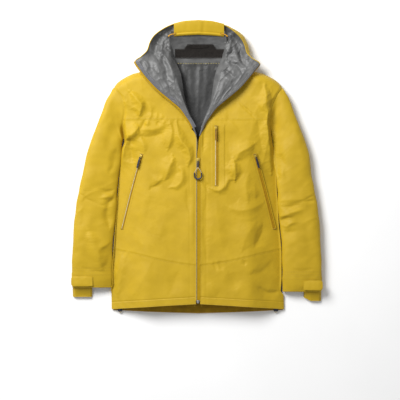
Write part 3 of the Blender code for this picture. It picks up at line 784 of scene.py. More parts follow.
def chest_welt(x, y):
    """Relief of the sewn-on strip around the chest zip: a step up at its left, a step down at its right."""
    inside = smooth((y + 0.070) / 0.008) * smooth((0.138 - y) / 0.008)
    return inside * (lapped(x - CHEST_WELT[0], 0.0011) + lapped(CHEST_WELT[1] - x, 0.0012))


def front_height(side, x, y):
    """Height of the closed front at world x and y, folds and seams included."""
    x, y = np.asarray(x, float), np.asarray(y, float)
    out = np.abs(x)
    soft = 0.006
    beyond = soft * np.log1p(np.exp(np.clip((out - FLAT_HALF) / soft, -30, 30)))
    crown = 0.0012 * np.cos(np.clip(out / 0.14, 0, 1) * math.pi)
    slope = blend_values(FLANK_SLOPE, CHEST_SLOPE, smooth((y - 0.02) / 0.12))
    if side == "right":
        slope = slope * (1.0 - 0.7 * smooth((y - 0.16) / 0.05) - 0.65 * np.exp(-((y - 0.065) / 0.05) ** 2))
    height = CREST - slope * beyond + crown - 0.0012
    border = side_x(side, y)
    armhole = smooth((y - 0.100) / 0.045)
    turn = np.clip((out - (border - EDGE_ROUND)) / EDGE_ROUND, 0.0, 1.0)
    low = 0.0200 - 0.0130 * smooth((-0.36 - y) / 0.06)
    rounded_side = low + (height - low) * np.sqrt(1.0 - 0.985 * turn ** 2.4)
    crease = 0.0022 * armhole + 0.0050 * np.exp(-((y - 0.105) / 0.045) ** 2)
    height = blend_values(rounded_side, height, armhole) + crease * groove(out - border, 1.0, 0.0050)
    top = seam_y(SHOULDER_LINE, out)
    fall = np.clip((y - (top - 0.034)) / 0.034, 0.0, 1.0)
    height = 0.0090 + (height - 0.0090) * np.sqrt(1.0 - 0.985 * fall ** 2.8)
    calm = smooth((out - 0.008) / 0.010) * (1.0 - 0.7 * turn * (1.0 - armhole)) * (1.0 - fall ** 2)
    relief = FOLD_DEPTH * fold_relief(x, y, FRONT_FOLDS[side])
    relief = relief + 0.0010 * value_noise(x, y, 0.060, 3) + 0.0003 * value_noise(x, y, 0.024, 5)
    relief = relief + 0.0008 * value_noise(x, y * 0.45, 0.036, 9)
    worn = 0.25 + np.exp(-((out - 0.215) / 0.035) ** 2) * smooth((y + 0.06) / 0.12)
    relief = relief + 0.0013 * worn * crumple(x, y, 0.034, 15, 1.2 if side == "left" else 2.0, 1.8)
    relief = relief + 0.0008 * worn * crumple(x, y, 0.017, 17, 0.6 if side == "left" else 2.6, 1.6)
    height = height + relief * calm + fold_relief(x, y, (LAPEL_HOLLOW[side],)) * (1.0 - fall ** 2)
    yoke_gap = y - YOKE_SEAM
    pucker = 0.0006 * value_noise(x, y * 0.15, 0.008, 12) * np.exp(-(yoke_gap / 0.009) ** 2)
    waist_gap = y - seam_y(WAIST_SEAM, x)
    pucker = pucker + 0.0004 * value_noise(x, y * 0.15, 0.009, 13) * np.exp(-(waist_gap / 0.008) ** 2)
    hem_gap = y - channel_y(x)
    near_hem = np.exp(-((hem_gap + 0.008) / 0.014) ** 2)
    pucker = pucker + 0.0006 * value_noise(x + 0.6 * y, 0 * y, 0.011, 14) * near_hem
    height = height + lapped(yoke_gap) + lapped(waist_gap) + groove(hem_gap, 0.0011) + pucker
    height = height + groove(out - PLACKET_EDGE, 0.0007) * smooth((0.020 - y) / 0.040)
    if side == "left":
        height = height + chest_welt(x, y)
        height = height + fold_relief(x, y, ((YOKE_SLANT, -0.0030, 0.0022, 0.0026),))
    return height


COLUMN_SHARES = np.concatenate([np.linspace(0.0, 0.94, 96), np.linspace(0.94, 1.0, 11)[1:]])


def front_patch(side, k, lower, upper):
    """Grid of the front between two seams, from its front edge to the side seam."""
    middle = np.array([lower(0.13), upper(0.13)])
    rows = max(8, int(abs(middle[1] - middle[0]) / STEP))
    rise, share = np.meshgrid(np.linspace(0.0, 1.0, rows), COLUMN_SHARES, indexing="ij")
    x = 0.13 * np.ones_like(share)
    for _ in range(4):
        y = blend_values(lower(x), upper(x), rise)
        x = blend_values(roll_x(y) + 0.012 * smooth((y - V_POINT) / 0.03), side_x(side, y), share)
    return np.stack([k * x, y, front_height(side, k * x, y)], -1)


def turned_hem(points):
    """Adds the turned-under hem below the first row."""
    first = points[0]
    rows = []
    for back, down in ((0.016, 0.0034), (0.004, 0.0036), (0.0004, 0.0030), (-0.0008, 0.0016)):
        row = first.copy()
        row[:, 1] += back
        row[:, 2] -= down * np.clip(first[:, 2] / 0.012, 0.2, 1.0)
        rows.append(row)
    return np.concatenate([np.array(rows), points])


def turned_shoulder(points):
    """Carries the last row down to the floor behind the shoulder."""
    last = points[-1]
    rows = []
    for angle in np.radians((20, 40, 60, 80, 90)):
        row = last.copy()
        row[:, 1] += 0.0035 * math.sin(angle) - 0.006 * (1 - math.cos(angle))
        row[:, 2] = last[:, 2] * (1 - math.sin(angle)) + 0.0016
        rows.append(row)
    return np.concatenate([points, np.array(rows)])


def make_front(side, k):
    """The front's cloth, one panel between each two seams."""
    hem = turned_hem(front_patch(side, k, lambda x: seam_y(HEM_EDGE, x), channel_y))
    low = front_patch(side, k, channel_y, lambda x: seam_y(WAIST_SEAM, x))
    body = front_patch(side, k, lambda x: seam_y(WAIST_SEAM, x), lambda x: YOKE_SEAM + 0 * np.asarray(x))
    yoke = front_patch(side, k, lambda x: YOKE_SEAM + 0 * np.asarray(x), lambda x: seam_y(SHOULDER_LINE, x))
    for name, node, points in ((f"hem_channel_cloth_{side}", f"hem_channel_{side}", hem),
                               (f"lower_cloth_{side}", f"lower_panel_{side}", low),
                               (f"front_cloth_{side}", f"front_panel_{side}", body),
                               (f"yoke_cloth_{side}", f"yoke_{side}", turned_shoulder(yoke))):
        piece = cloth(name, points, FACE, LINING)
        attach(piece, "torso")
        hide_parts(node)


def make_side_panel(side, k):
    """The strip that carries the front round under the side, from hem to armpit."""
    y = np.linspace(HEM_EDGE[-1][1] + 0.0005, 0.092, 190)
    x = side_x(side, y)
    top = front_height(side, k * x, y)
    rows = [np.stack([k * (x - 0.0004), y, top + 0.0004], -1)]
    for angle in np.radians((12, 28, 45, 62, 78, 90)):
        ripple = 0.0006 * value_noise(y, y * 0 + angle, 0.02, 21)
        turned = x + 0.0008 * math.sin(2 * angle) - 0.010 * (1 - math.cos(angle)) + ripple
        rows.append(np.stack([k * turned, y, top * (1 - math.sin(angle)) + 0.0010], -1))
    rows.append(np.stack([k * (x - 0.024), y, 0 * y + 0.0010], -1))
    piece = cloth(f"side_cloth_{side}", np.array(rows), FACE, LINING, centre=(0.0, -0.17, 0.03))
    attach(piece, "torso")
    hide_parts(f"side_panel_{side}")


def make_back():
    """The back panel with its lining up, and the facing inside its hem."""
    share = np.linspace(-1.0, 1.0, 190)
    y = np.linspace(-0.434, 0.336, 260)
    width = curve(BACK_LINE, y)
    x = width[:, None] * share[None]
    y = np.repeat(y[:, None], len(share), 1)
    streaks = (((0.004, 0.36), (0.002, 0.25), (0.000, 0.15)), ((0.036, 0.36), (0.028, 0.27), (0.020, 0.19)),
               ((-0.028, 0.36), (-0.024, 0.26), (-0.014, 0.19)),
               ((0.058, 0.36), (0.047, 0.285)), ((-0.048, 0.36), (-0.041, 0.27)))
    relief = fold_relief(x, y, [(line, 0.0034, 0.008, 0.012) for line in streaks])
    inside = np.exp(-(x / 0.12) ** 2) * smooth((y - 0.03) / 0.08)
    relief = relief * inside + 0.0005 * inside * value_noise(x, y * 0.25, 0.014, 30)
    z = 0.0030 + np.maximum(relief, -0.0010)
    # The back's lining takes the darker lining, painted shade where it lies deep inside the open front.
    piece = cloth("back_cloth", np.stack([x, y, z], -1), PAINTED_SHADE_LINING, FACE, thick=0.0012)
    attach(piece, "torso")
    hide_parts("back_panel")

    share = np.linspace(-1.0, 1.0, 150)
    x = 0.2685 * share
    rows = []
    low = seam_y(BACK_EDGE, x)
    high = np.maximum(low + 0.012, -0.4285 + 0 * x)
    wave = 0.0007 * value_noise(x, x * 0, 0.016, 33)
    for part, lift in ((0.05, 0.0006), (-0.005, 0.0014), (0.0, 0.0034), (0.04, 0.0046), (0.12, 0.0048),
                       (0.5, 0.0046), (0.86, 0.0044), (0.93, 0.0036), (1.0, 0.0036)):
        rows.append(np.stack([x, blend_values(low, high, part), lift + 0.5 * lift / 0.005 * wave], -1))
    piece = cloth("back_hem_band", np.array(rows), HEM_FACING, FACE, thick=0.0006)
    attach(piece, "torso")
    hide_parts("back_hem_facing")
    for name, offset in (("back_hem_stitches", 0.004), ("back_hem_upper_stitches", 0.017)):
        path = smooth_path([(v, seam_y(BACK_EDGE, v) + offset, 0.0050)
                            for v in np.linspace(-0.262, 0.262, 9)], 0.0032)
        sew(name, path, HEM_THREAD, "torso")


# ---- stitching and strips ----------------------------------------------------------
HEM_THREAD = thread("ochre_thread", (0.18, 0.095, 0.004), (0.24, 0.13, 0.008))
STITCH_PITCH = 0.0030
WIDE_STITCH = (0.0024, 0.0008, 0.0006)     # half length, width and height of the stitches of the neck seam
CHEST_STITCH_LINES = (0.0440, 0.0756, 0.0820)


def sew(name, path, material, body=None, bend=None, size=(0.00115, 0.00028, 0.00022)):
    """A row of stitches along a path on the cloth."""
    made = beads(name, np.asarray(path), path_frames(path), size, material)
    if bend is None:
        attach(made, body)
    else:
        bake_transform(made)
    return made


def on_front(side, points, spacing, lift=0.0):
    """A path on the front from given (x, y) points."""
    flat = smooth_path(points, spacing)
    height = front_height(side, flat[:, 0], flat[:, 1]) + lift
    return np.column_stack([flat, height])


def strip(name, path, offsets, lifts, material):
    """A tape or edge that follows a path: the section is given by offsets across it and lifts off it."""
    _, across, _ = path_frames(path)
    rows = [path + across * offset + np.array((0.0, 0.0, lift)) for offset, lift in zip(offsets, lifts)]
    return cloth(name, np.array(rows), material, thick=TAPE_THICK)


def sew_front(side, k):
    """Top stitching beside the seams of the front."""
    rows = (("yoke_stitches", [(x, YOKE_SEAM + 0.0042) for x in (0.040, 0.12, 0.20, 0.238)]),
            ("waist_stitches",
             [(x, seam_y(WAIST_SEAM, x) - 0.0042) for x in (0.012, 0.08, 0.15, 0.20, 0.262)]),
            ("channel_stitches", [(x, channel_y(x) - 0.0036) for x in (0.012, 0.10, 0.18, 0.262)]),
            ("hem_stitches", [(x, seam_y(HEM_EDGE, x) + 0.0040) for x in (0.012, 0.10, 0.18, 0.262)]),
            ("front_edge_stitches", [(0.0118, -0.440), (0.0118, -0.20), (0.0118, 0.02), (0.0118, 0.085)]))
    for name, points in rows:
        path = on_front(side, [(k * x, float(y)) for x, y in points], STITCH_PITCH, 0.0002)
        sew(f"{name}_{side}", path, YELLOW_THREAD, "torso")
    if side == "left":
        for n, x in enumerate(CHEST_STITCH_LINES):
            path = on_front(side, [(x, -0.062), (x, 0.03), (x, 0.132)], STITCH_PITCH, 0.0001)
            sew(f"chest_pocket_stitches_{n + 1}", path, YELLOW_THREAD, "torso")
        moved = [(x + 0.003, y + 0.003) for x, y in YOKE_SLANT]
        sew("yoke_slant_stitches", on_front(side, moved, STITCH_PITCH, 0.0002), YELLOW_THREAD, "torso")


# ---- the turned-out opening: lapels, collar, hood sides -----------------------------
LINING_FOLDS = metres({
    "right": (
        (((-109, 352), (-88, 324), (-79, 300), (-74.5, 268)), 6, 4, 6),
        (((-116, 356), (-107, 324), (-99, 285), (-86, 245)), -6, 6, 6),
        (((-140, 350), (-128, 318), (-118, 282), (-100, 244)), 3.4, 7, 8),
        (((-156, 344), (-150, 322), (-140, 300)), -2, 6, 6),
        (((-170, 338), (-160, 312), (-140, 285)), 2.2, 8, 5),
        (((-130, 300), (-112, 262), (-96, 236)), -2.6, 4, 6),
        (((-70, 236), (-56, 212), (-44, 186)), 2.2, 5, 5),
        (((-82, 226), (-66, 204), (-52, 184)), -1.6, 4, 5),
        (((-146, 362), (-134, 352), (-126, 338)), -4, 4, 5),
        (((-136, 370), (-120, 358), (-112, 344)), 3, 4, 4),
        (((-108, 402), (-115, 376), (-110, 352)), 6, 5, 6),
        (((-90, 396), (-82, 372), (-86, 345)), 3, 6, 5),
        (((-130, 424), (-108, 418), (-92, 420)), 4, 5, 4)),
    "left": (
        (((96, 334), (113, 324.5), (131, 310), (140, 292)), -5, 4, 5),
        (((100, 346), (120, 335), (140, 322), (156, 306)), 3.4, 5, 5),
        (((82, 310), (103, 292), (117, 282)), -4.8, 4, 5),
        (((76, 296), (94, 278), (108, 262)), 3.4, 6, 6),
        (((130, 375), (139.6, 331), (150, 322)), -5.5, 4, 4),
        (((120, 372), (130, 340), (134, 330)), 4, 4, 4),
        (((112, 372), (102, 356), (94, 338)), -5, 4, 5),
        (((112, 344), (108, 332), (124, 322)), -3.4, 3, 4),
        (((104, 392), (94, 366), (84, 344)), 4.5, 6, 6),
        (((148, 352), (156, 336), (168, 326)), 2.4, 5, 5),
        (((84, 268), (72, 240), (60, 214)), 2.4, 5, 6),
        (((100, 256), (86, 232), (70, 208)), -2, 5, 5),
        (((62, 206), (50, 186), (40, 168)), 1.4, 4, 4),
        (((120, 430), (108, 416), (92, 412)), 3.6, 5, 4)),
})
# The wearer's left side of the hood lies lower, so its rim runs further in: station, rim x, rim y.
LEFT_RIM = ((6.0, 0.1770, 0.3010), (7.0, 0.1950, 0.3255), (8.0, 0.1700, 0.3440), (9.0, 0.1545, 0.3610),
            (10.0, 0.1480, 0.3840), (11.0, 0.1376, 0.4046), (12.0, 0.1130, 0.4290), (13.0, 0.0790, 0.4495),
            (14.0, 0.0400, 0.4590))
RIM_BULGE = {"right": 0.0004, "left": 0.0115}


def opening_station(side, k, station):
    """Rim point, dip point and lining heights at fractional stations of the opening."""
    keys = np.arange(len(OPENING))
    table = np.array(OPENING)
    if side == "left":
        for number, rim_x, rim_y in LEFT_RIM:
            table[int(number), 0:2] = rim_x, rim_y
    station = np.asarray(station, float)
    rim_x, rim_y, rim_z, dip_x, dip_y = (curve(np.stack([keys, column], 1), station) for column in table.T)
    heights = np.stack([curve(np.stack([keys, column], 1), station)
                        for column in np.array(OPENING_HEIGHTS).T], -1)
    return k * rim_x, rim_y, rim_z, k * dip_x, dip_y, heights


def opening_patch(side, k, start, end, rows):
    """Grid of the lining from the rim (first column) to below the dip (last columns)."""
    station = np.linspace(start, end, rows)
    rim_x, rim_y, _, dip_x, dip_y, heights = opening_station(side, k, station)
    share = np.linspace(0.0, 1.0, 56)
    x = blend_values(rim_x[:, None], dip_x[:, None], share)
    y = blend_values(rim_y[:, None], dip_y[:, None], share)
    z = np.array([curve(np.stack([OPENING_SHARES, row], 1), share) for row in heights])
    reach = np.hypot(dip_x - rim_x, dip_y - rim_y)[:, None]
    calm = smooth(share / 0.10) * np.clip(reach / 0.03, 0.0, 1.0)
    relief = fold_relief(x, y, LINING_FOLDS[side]) + 0.0012 * value_noise(x, y, 0.024, 41)
    relief = relief + 0.0022 * crumple(x, y, 0.014, 43, 0.82 * k, 3.0)
    relief = relief + 0.0009 * crumple(x, y, 0.008, 45, 1.1 * k, 2.0)
    under_peak = smooth((HOOD_END - 0.6 - station) / 0.8)[:, None]
    inside_hood = smooth((station - HOOD_START) / 1.2)[:, None] * under_peak
    relief = relief + inside_hood * (0.0034 * crumple(x, y, 0.012, 47, 0.9 * k, 1.6)
                                     + 0.0014 * value_noise(x, y, 0.008, 48))
    z = z + relief * calm
    grid = np.stack([x, y, z], -1)
    under = []
    depth = grid[:, -1, 2]
    away = np.stack([rim_x - dip_x, rim_y - dip_y], -1) / np.maximum(reach, 1e-6)
    for back, part in ((0.0010, 0.75), (0.0030, 0.5), (0.0070, 0.28), (0.0120, 0.16)):
        point = grid[:, -1].copy()
        point[:, :2] += away * back * np.clip(reach / 0.03, 0.0, 1.0)
        point[:, 2] = 0.0062 + (depth - 0.0062) * part
        under.append(point[:, None])
    return np.concatenate([grid, *under], 1)


def make_opening(side, k):
    """Lapel, collar half and hood side, with the lining up."""
    pieces = (("lapel_cloth", (f"lapel_{side}",), 0.0, COLLAR_START, 150),
              ("collar_cloth", (f"collar_{side}",), COLLAR_START, HOOD_START, 70),
              ("hood_side_cloth", (f"hood_side_{side}",), HOOD_START, HOOD_END, 110))
    for name, nodes, start, end, rows in pieces:
        piece = cloth(f"{name}_{side}", opening_patch(side, k, start, end, rows), LINING, FACE)
        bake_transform(piece)
        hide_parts(*nodes)


def rim_path(side, k, start, end, count):
    rim_x, rim_y, _, _, _, heights = opening_station(side, k, np.linspace(start, end, count))
    return np.stack([rim_x, rim_y, heights[:, 0]], -1)


def inward(side, k, start, end, count):
    """Unit directions from the rim towards the dip, level."""
    rim_x, rim_y, _, dip_x, dip_y, _ = opening_station(side, k, np.linspace(start, end, count))
    direction = np.stack([dip_x - rim_x, dip_y - rim_y, 0 * rim_x], -1)
    edge = rim_path(side, k, start, end, count)
    along = np.gradient(edge, axis=0)
    along[:, 2] = 0
    along /= np.maximum(np.linalg.norm(along, axis=1, keepdims=True), 1e-9)
    direction = direction - along * (direction * along).sum(1, keepdims=True)
    return direction / np.maximum(np.linalg.norm(direction, axis=1, keepdims=True), 1e-9)


def edge_strip(name, side, k, span, offsets, lifts, material):
    """A band along the opening's rim, laid by its distance in from the rim."""
    start, end, count = span
    edge = rim_path(side, k, start, end, count)
    into = inward(side, k, start, end, count)
    rows = [edge + into * offset + np.array((0.0, 0.0, lift)) for offset, lift in zip(offsets, lifts)]
    piece = cloth(name, np.array(rows), material, thick=TAPE_THICK)
    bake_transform(piece)
    return piece


def edge_seam(name, side, k, span, offset, lift, material, size=(0.00115, 0.00030, 0.00024)):
    start, end, count = span
    edge = rim_path(side, k, start, end, count) + inward(side, k, start, end, count) * offset
    path = smooth_path(edge + np.array((0.0, 0.0, lift)), STITCH_PITCH)
    return sew(name, path, material, bend=WITH_HOOD, size=size)


def make_opening_edges(side, k):
    """Facing band, zip edge or binding, and their stitching along the rim."""
    lapel = (0.6, 7.0, 220)
    hood = (7.0, 13.6, 160)
    width = 0.0125 if side == "right" else 0.0085
    band = edge_strip(f"lapel_facing_{side}", side, k, lapel,
                      (0.0002, 0.0010, width * 0.5, width - 0.0008, width),
                      (0.0006, 0.0014, 0.0022, 0.0024, 0.0012), FACING if side == "right" else LINING)
    for n, offset in enumerate((0.0030, width - 0.0016)):
        edge_seam(f"facing_stitches_{n + 1}_{side}", side, k, lapel, offset, 0.0026, GREY_THREAD)
    if side == "right":
        tape = edge_strip("open_zip_tape_right", side, k, lapel, (0.0010, -0.0010, -0.0030, -0.0042),
                          (0.0008, 0.0012, 0.0009, 0.0003), TAPE)
        teeth_offset, teeth_lift = -0.0044, 0.0005
    else:
        tape = edge_strip("open_zip_tape_left", side, k, lapel, (0.0015, 0.0, -0.0012, -0.0016),
                          (-0.0010, -0.0014, -0.0020, -0.0030), TAPE)
        teeth_offset, teeth_lift = -0.0010, -0.0032
    edge_seam(f"open_zip_teeth_{side}", side, k, lapel, teeth_offset, teeth_lift, COIL,
              size=(0.00085, 0.0011, 0.0007))
    binding = edge_strip(f"hood_binding_{side}", side, k, hood,
                         (0.0016, 0.0012, 0.0004, -0.0006, -0.0010, -0.0008),
                         (0.0004, 0.0012, 0.0014, 0.0008, -0.0006, -0.0024), FACE)


UNDERSIDE = 0.064      # how far the hood's outer cloth runs in under the hood


def make_hood_shell(side, k):
    """The hood's and collar's outer cloth, from the rim down to the floor and in under the hood."""
    span = (5.4, 15.0, 230)
    edge = rim_path(side, k, *span)
    into = inward(side, k, *span)
    station = np.linspace(*span)
    bulge = RIM_BULGE[side] * smooth((station - 8.0) / 1.2) * smooth((13.4 - station) / 2.0) + 0.0012
    tuck = 0.010 + 0.030 * smooth((9.0 - station) / 2.0)
    rows = []
    for angle in np.radians((0, 12, 25, 40, 55, 70, 82, 90)):
        out = math.sin(min(2.2 * angle, math.pi / 2)) * bulge
        back = tuck * (1 - math.cos(angle)) ** 1.2
        ripple = 0.0012 * value_noise(station * 0.05, station * 0 + angle * 0.03, 0.02, 51)
        ripple = ripple * math.sin(2 * angle)
        row = edge + into * (back - out + ripple)[:, None]
        row[:, 2] = 0.0010 + (edge[:, 2] - 0.0014) * (1 - math.sin(angle)) ** 0.9
        rows.append(row)
    border = rows[-1]
    reach = UNDERSIDE * smooth((station - 7.4) / 1.8)
    for part in (0.15, 0.4, 0.7, 1.0):
        row = border + into * (reach * part)[:, None]
        row[:, 2] = 0.0010 + 0.0006 * part
        rows.append(row)
    piece = cloth(f"hood_shell_{side}", np.array(rows), FACE, LINING, centre=(0.0, 0.33, 0.03))
    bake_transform(piece)


HOOD_FLOOR = ((0.33, 0.0056), (0.345, 0.0100), (0.374, 0.0200), (0.392, 0.0290), (0.410, 0.0400),
              (0.43, 0.0440))


def make_hood_middle():
    """The lining between the hood sides, from the neck band to the peak, and the neck band itself."""
    share = np.linspace(-1.0, 1.0, 80)
    y = np.linspace(0.3300, 0.4280, 60)
    half = curve(((0.33, 0.086), (0.36, 0.088), (0.40, 0.090), (0.43, 0.084)), y)
    x = half[:, None] * share[None]
    y = np.repeat(y[:, None], len(share), 1)
    z = curve(HOOD_FLOOR, y)
    z = z + 0.010 * np.abs(share)[None] ** 6
    bands = (((-0.07, 0.404), (0.0, 0.400), (0.07, 0.404)), ((-0.07, 0.388), (0.0, 0.392), (0.07, 0.386)))
    relief = fold_relief(x, y, [(line, -0.0014, 0.004, 0.004) for line in bands])
    z = z + relief + 0.0009 * value_noise(x * 0.5, y, 0.012, 61)
    piece = cloth("hood_middle_cloth", np.stack([x, y, z], -1), LINING, FACE)
    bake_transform(piece)
    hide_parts("hood_center_panel")

    y = np.linspace(0.2960, NECK_SEAM + 0.0015, 26)
    half = curve(((0.296, 0.066), (0.32, 0.078), (0.335, 0.084)), y)
    x = half[:, None] * share[None]
    y = np.repeat(y[:, None], len(share), 1)
    z = 0.0056 + 0.0016 * value_noise(x, y * 0.3, 0.011, 63) + 0.0012 * smooth((y - 0.318) / 0.01)
    z = blend_values(0.0014, z, smooth((y - 0.296) / 0.014))
    # The neck band takes the darker lining, painted shade at the bottom of the hood.
    band = cloth("neck_band_cloth", np.stack([x, y, z], -1), PAINTED_SHADE_LINING, FACE)
    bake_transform(band)
    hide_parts("neck_band")
    path = smooth_path([(-0.078, NECK_SEAM, 0.0082), (0.0, NECK_SEAM - 0.0006, 0.0080),
                        (0.082, NECK_SEAM, 0.0082)], 0.0078)
    sew("neck_seam_stitches", path, PALE_THREAD, bend=WITH_HOOD, size=WIDE_STITCH)


PEAK_OUTER = ((0.0, 0.4622), (0.04, 0.4596), (0.079, 0.4512))
PEAK_INNER = ((0.0, 0.4165), (0.05, 0.4140), (0.082, 0.4105))


def make_peak():
    """The stiff peak of the hood with the cord channel along its edge."""
    x = np.linspace(-0.0760, 0.0820, 90)
    outer = seam_y(PEAK_OUTER, x)
    inner = seam_y(PEAK_INNER, x)
    section = ((1.020, 0.0440), (1.035, 0.0490), (1.030, 0.0530), (1.005, 0.0560), (0.95, 0.0574),
               (0.86, 0.0576), (0.64, 0.0560), (0.42, 0.0536), (0.27, 0.0520), (0.235, 0.0512),
               (0.20, 0.0530), (0.15, 0.0540), (0.09, 0.0530), (0.03, 0.0504), (0.0, 0.0482),
               (0.01, 0.0466), (0.06, 0.0460))
    lift = curve(((-0.08, -0.0020), (-0.03, 0.0006), (0.0, 0.0010), (0.03, 0.0), (0.085, -0.0022)), x)
    crease = fold_relief(x, 0 * x + 0.44, ((((0.012, 0.45), (0.020, 0.43)), -0.0012, 0.006, 0.006),
                                           (((-0.050, 0.45), (-0.052, 0.43)), 0.0008, 0.008, 0.008)))
    rows = []
    for share, height in section:
        puff = crease * math.sin(math.pi * min(max(share, 0.0), 1.0))
        wave = 0.0004 * value_noise(x, 0 * x + share * 0.05, 0.010, 71)
        rows.append(np.stack([x, blend_values(inner, outer, share), height + lift + puff + wave], -1))
    peak = cloth("peak_cloth", np.array(rows), FACE, LINING, thick=0.0016)
    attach(peak, "hood")
    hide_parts("hood_peak")
    for name, share, height in (("peak_channel_stitches", 0.245, 0.0518),
                                ("peak_edge_stitches", 0.90, 0.0580)):
        path = np.stack([x, blend_values(inner, outer, share), height + lift], -1)
        sew(name, smooth_path(path, STITCH_PITCH), YELLOW_THREAD, "hood")


def make_hood_cords():
    """Elastic cord ends that leave the peak's channel, and the eyelets beside them."""
    for side, k in SIDES:
        route = [(k * 0.0740, 0.4190, 0.0560), (k * 0.0810, 0.4182, 0.0572), (k * 0.0875, 0.4160, 0.0570),
                 (k * 0.0925, 0.4120, 0.0560)]
        path = smooth_path(route, 0.0008)
        cord = tube(f"hood_cord_end_{side}", path, 0.0015, ORANGE_CORD, 10)
        knot_path = smooth_path([path[-4], path[-1]], 0.0008)
        knot = tube(f"hood_cord_knot_{side}", knot_path, 0.0023, ORANGE_CORD, 10)
        cord = join(f"hood_cord_end_{side}", cord, knot)
        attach(cord, "hood")
        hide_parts(f"hood_cord_{side}")
        for n, y in enumerate((0.4215, 0.4135)):
            angle = np.linspace(0, 2 * math.pi, 17)
            ring = np.stack([k * 0.0715 + 0.0014 * np.cos(angle), y + 0.0014 * np.sin(angle),
                             0 * angle + 0.0562], -1)
            eyelet = tube(f"peak_eyelet_{n + 1}_{side}", ring, 0.0007, OCHRE_PLASTIC, 8)
            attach(eyelet, "hood")


def make_label():
    """The neck label, a woven band with a raised middle, blank, and the hanger loop on its raised middle."""
    share = np.linspace(0.0, 1.0, 24)
    x = np.linspace(-0.0725, 0.0880, 120)
    shoulder = smooth((0.0535 - np.abs(x - 0.0070)) / 0.0150)
    top = 0.3735 + (0.3880 - 0.3735) * shoulder
    bottom = 0.3462 + 0.0004 * np.sin(x * 60)
    y = blend_values(bottom[:, None], top[:, None], share[None])
    z = curve(HOOD_FLOOR, y) + 0.0026
    z = z + 0.0004 * value_noise(x[:, None] + 0 * y, y, 0.014, 81)
    z = z + 0.010 * np.clip(np.abs(x) / 0.09, 0, 1)[:, None] ** 6
    piece = cloth("woven_neck_label", np.stack([x[:, None] + 0 * y, y, z], -1), LABEL, thick=0.0010)
    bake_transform(piece)
    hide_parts("neck_label")
    border = [(x[n], top[n] - 0.0016, z[n, -1] - 0.0002) for n in range(2, 118, 5)]
    sew("label_top_stitches", smooth_path(border, 0.0026), DARK_THREAD, bend=WITH_HOOD)
    border = [(x[n], bottom[n] + 0.0016, z[n, 0] + 0.0006) for n in range(2, 118, 5)]
    sew("label_bottom_stitches", smooth_path(border, 0.0026), DARK_THREAD, bend=WITH_HOOD)

    low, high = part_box("hanger_loop")
    middle = (low.y + high.y) / 2
    rows = []
    for offset in np.linspace(-0.0026, 0.0026, 7):
        row = smooth_path([(low.x, middle + offset, 0.0), (0.0, middle - 0.002 + offset, 0.0),
                           (high.x, middle + offset, 0.0)], 0.002)
        row[:, 2] = curve(HOOD_FLOOR, row[:, 1]) + 0.0044
        rows.append(row)
    loop = cloth("hanger_tape", np.array(rows), LABEL, thick=0.0009)
    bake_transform(loop)
    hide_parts("hanger_loop")


# ---- sleeves -----------------------------------------------------------------------
SLEEVE_FOLDS = metres({
    "right": (
        (((-268, -70), (-285, -76), (-304, -70)), -2.6, 5, 6),
        (((-266, -84), (-282, -94), (-306, -98)), 2.6, 6, 5),
        (((-266, -96), (-280, -110), (-300, -120)), -3, 5, 6),
        (((-284, -110), (-288, -150), (-282, -196)), -4, 8, 8),
        (((-347, -198), (-326.4, -245.3), (-314.6, -276.8), (-302, -320)), 7.4, 20, 12),
        (((-398, -69), (-340, -104), (-274, -131)), -1.1, 1.6, 1.6),
        (((-350, -60), (-362, -120), (-366, -190)), -2, 14, 10),
        (((-298, -334), (-318, -326), (-338, -330)), -1, 3, 4),
        (((-330, -316), (-352, -320), (-376, -314)), -0.9, 3, 3),
        (((-274, -236), (-296, -246), (-312, -262)), 2.2, 8, 8),
        (((-262, 150), (-278, 100), (-286, 50)), -2, 10, 12),
        (((-256, 60), (-266, 20), (-278, -20)), -3, 8, 10),
        (((-272, 215), (-292, 180), (-306, 130)), 1.8, 14, 14)),
    "left": (
        (((244, -154), (264, -154), (290, -146), (326, -134)), 5.6, 12, 10),
        (((248, -168), (262, -168), (290, -160)), -3.6, 7, 7),
        (((250, 230), (240, 179.9), (235, 148.4), (237, 110), (240, 77.5), (248, 20), (254, -40)),
         -15, 13, 20),
        (((296, -120), (330, -106), (372, -88)), -1.1, 1.6, 1.6),
        (((264, -184), (284, -182), (312, -174)), 3.6, 7, 6),
        (((262, -122), (286, -124), (322, -114)), -3.4, 6, 8),
        (((262, -106), (290, -104), (330, -104)), 2.2, 8, 6),
        (((268, -200), (290, -204), (310, -200)), -2.2, 6, 8),
        (((332, -110), (352, -108), (372, -104)), -2, 3, 3),
        (((330, -150), (346, -200), (350, -260)), -1.6, 14, 16),
        (((262, 160), (276, 110), (284, 60)), -2.4, 10, 12),
        (((256, 50), (270, 10), (282, -30)), -2.6, 8, 10),
        (((300, -320), (330, -326), (366, -322)), -1.2, 4, 5),
        (((310, 120), (322, 70), (332, 20)), 1.4, 14, 14)),
})
CUFF_DROP = {"left": 0.0130, "right": 0.0}
OUTER_LEAN = {"left": -0.0060, "right": 0.0015}
CLOSE_FROM = {"left": 0.140, "right": 0.100}       # y below which the sleeve's inner edge moves to the body
INNER_CLOSE = {"left": 0.0048, "right": 0.0008}    # how far it moves
LOW_CLOSE = {"left": 0.0067, "right": 0.0062}      # how much further it moves below the elbow
SLEEVE_TILT = {"left": 0.0, "right": 0.20}         # how much higher the outer half of the sleeve lies
RING = 84                 # points around the sleeve
SLEEVE_THICK = 0.0014     # cloth and lining of the sleeve together
COVER_TOP = -0.3640       # upper end of the edge that covers the hand
ARMHOLE_CHORD = (0.1341, 0.2207)   # slope and foot of the straight line between the armhole's ends


def cuff_drop(side, y):
    """How much further down one sleeve lies."""
    return -CUFF_DROP[side] * smooth((-0.16 - y) / 0.18)


def outer_lean(side, x, y):
    """How much the outer edge of a sleeve is drawn in or out, by distance from the body."""
    return OUTER_LEAN[side] * smooth((0.06 - y) / 0.10) * smooth((x - 0.27) / 0.11)


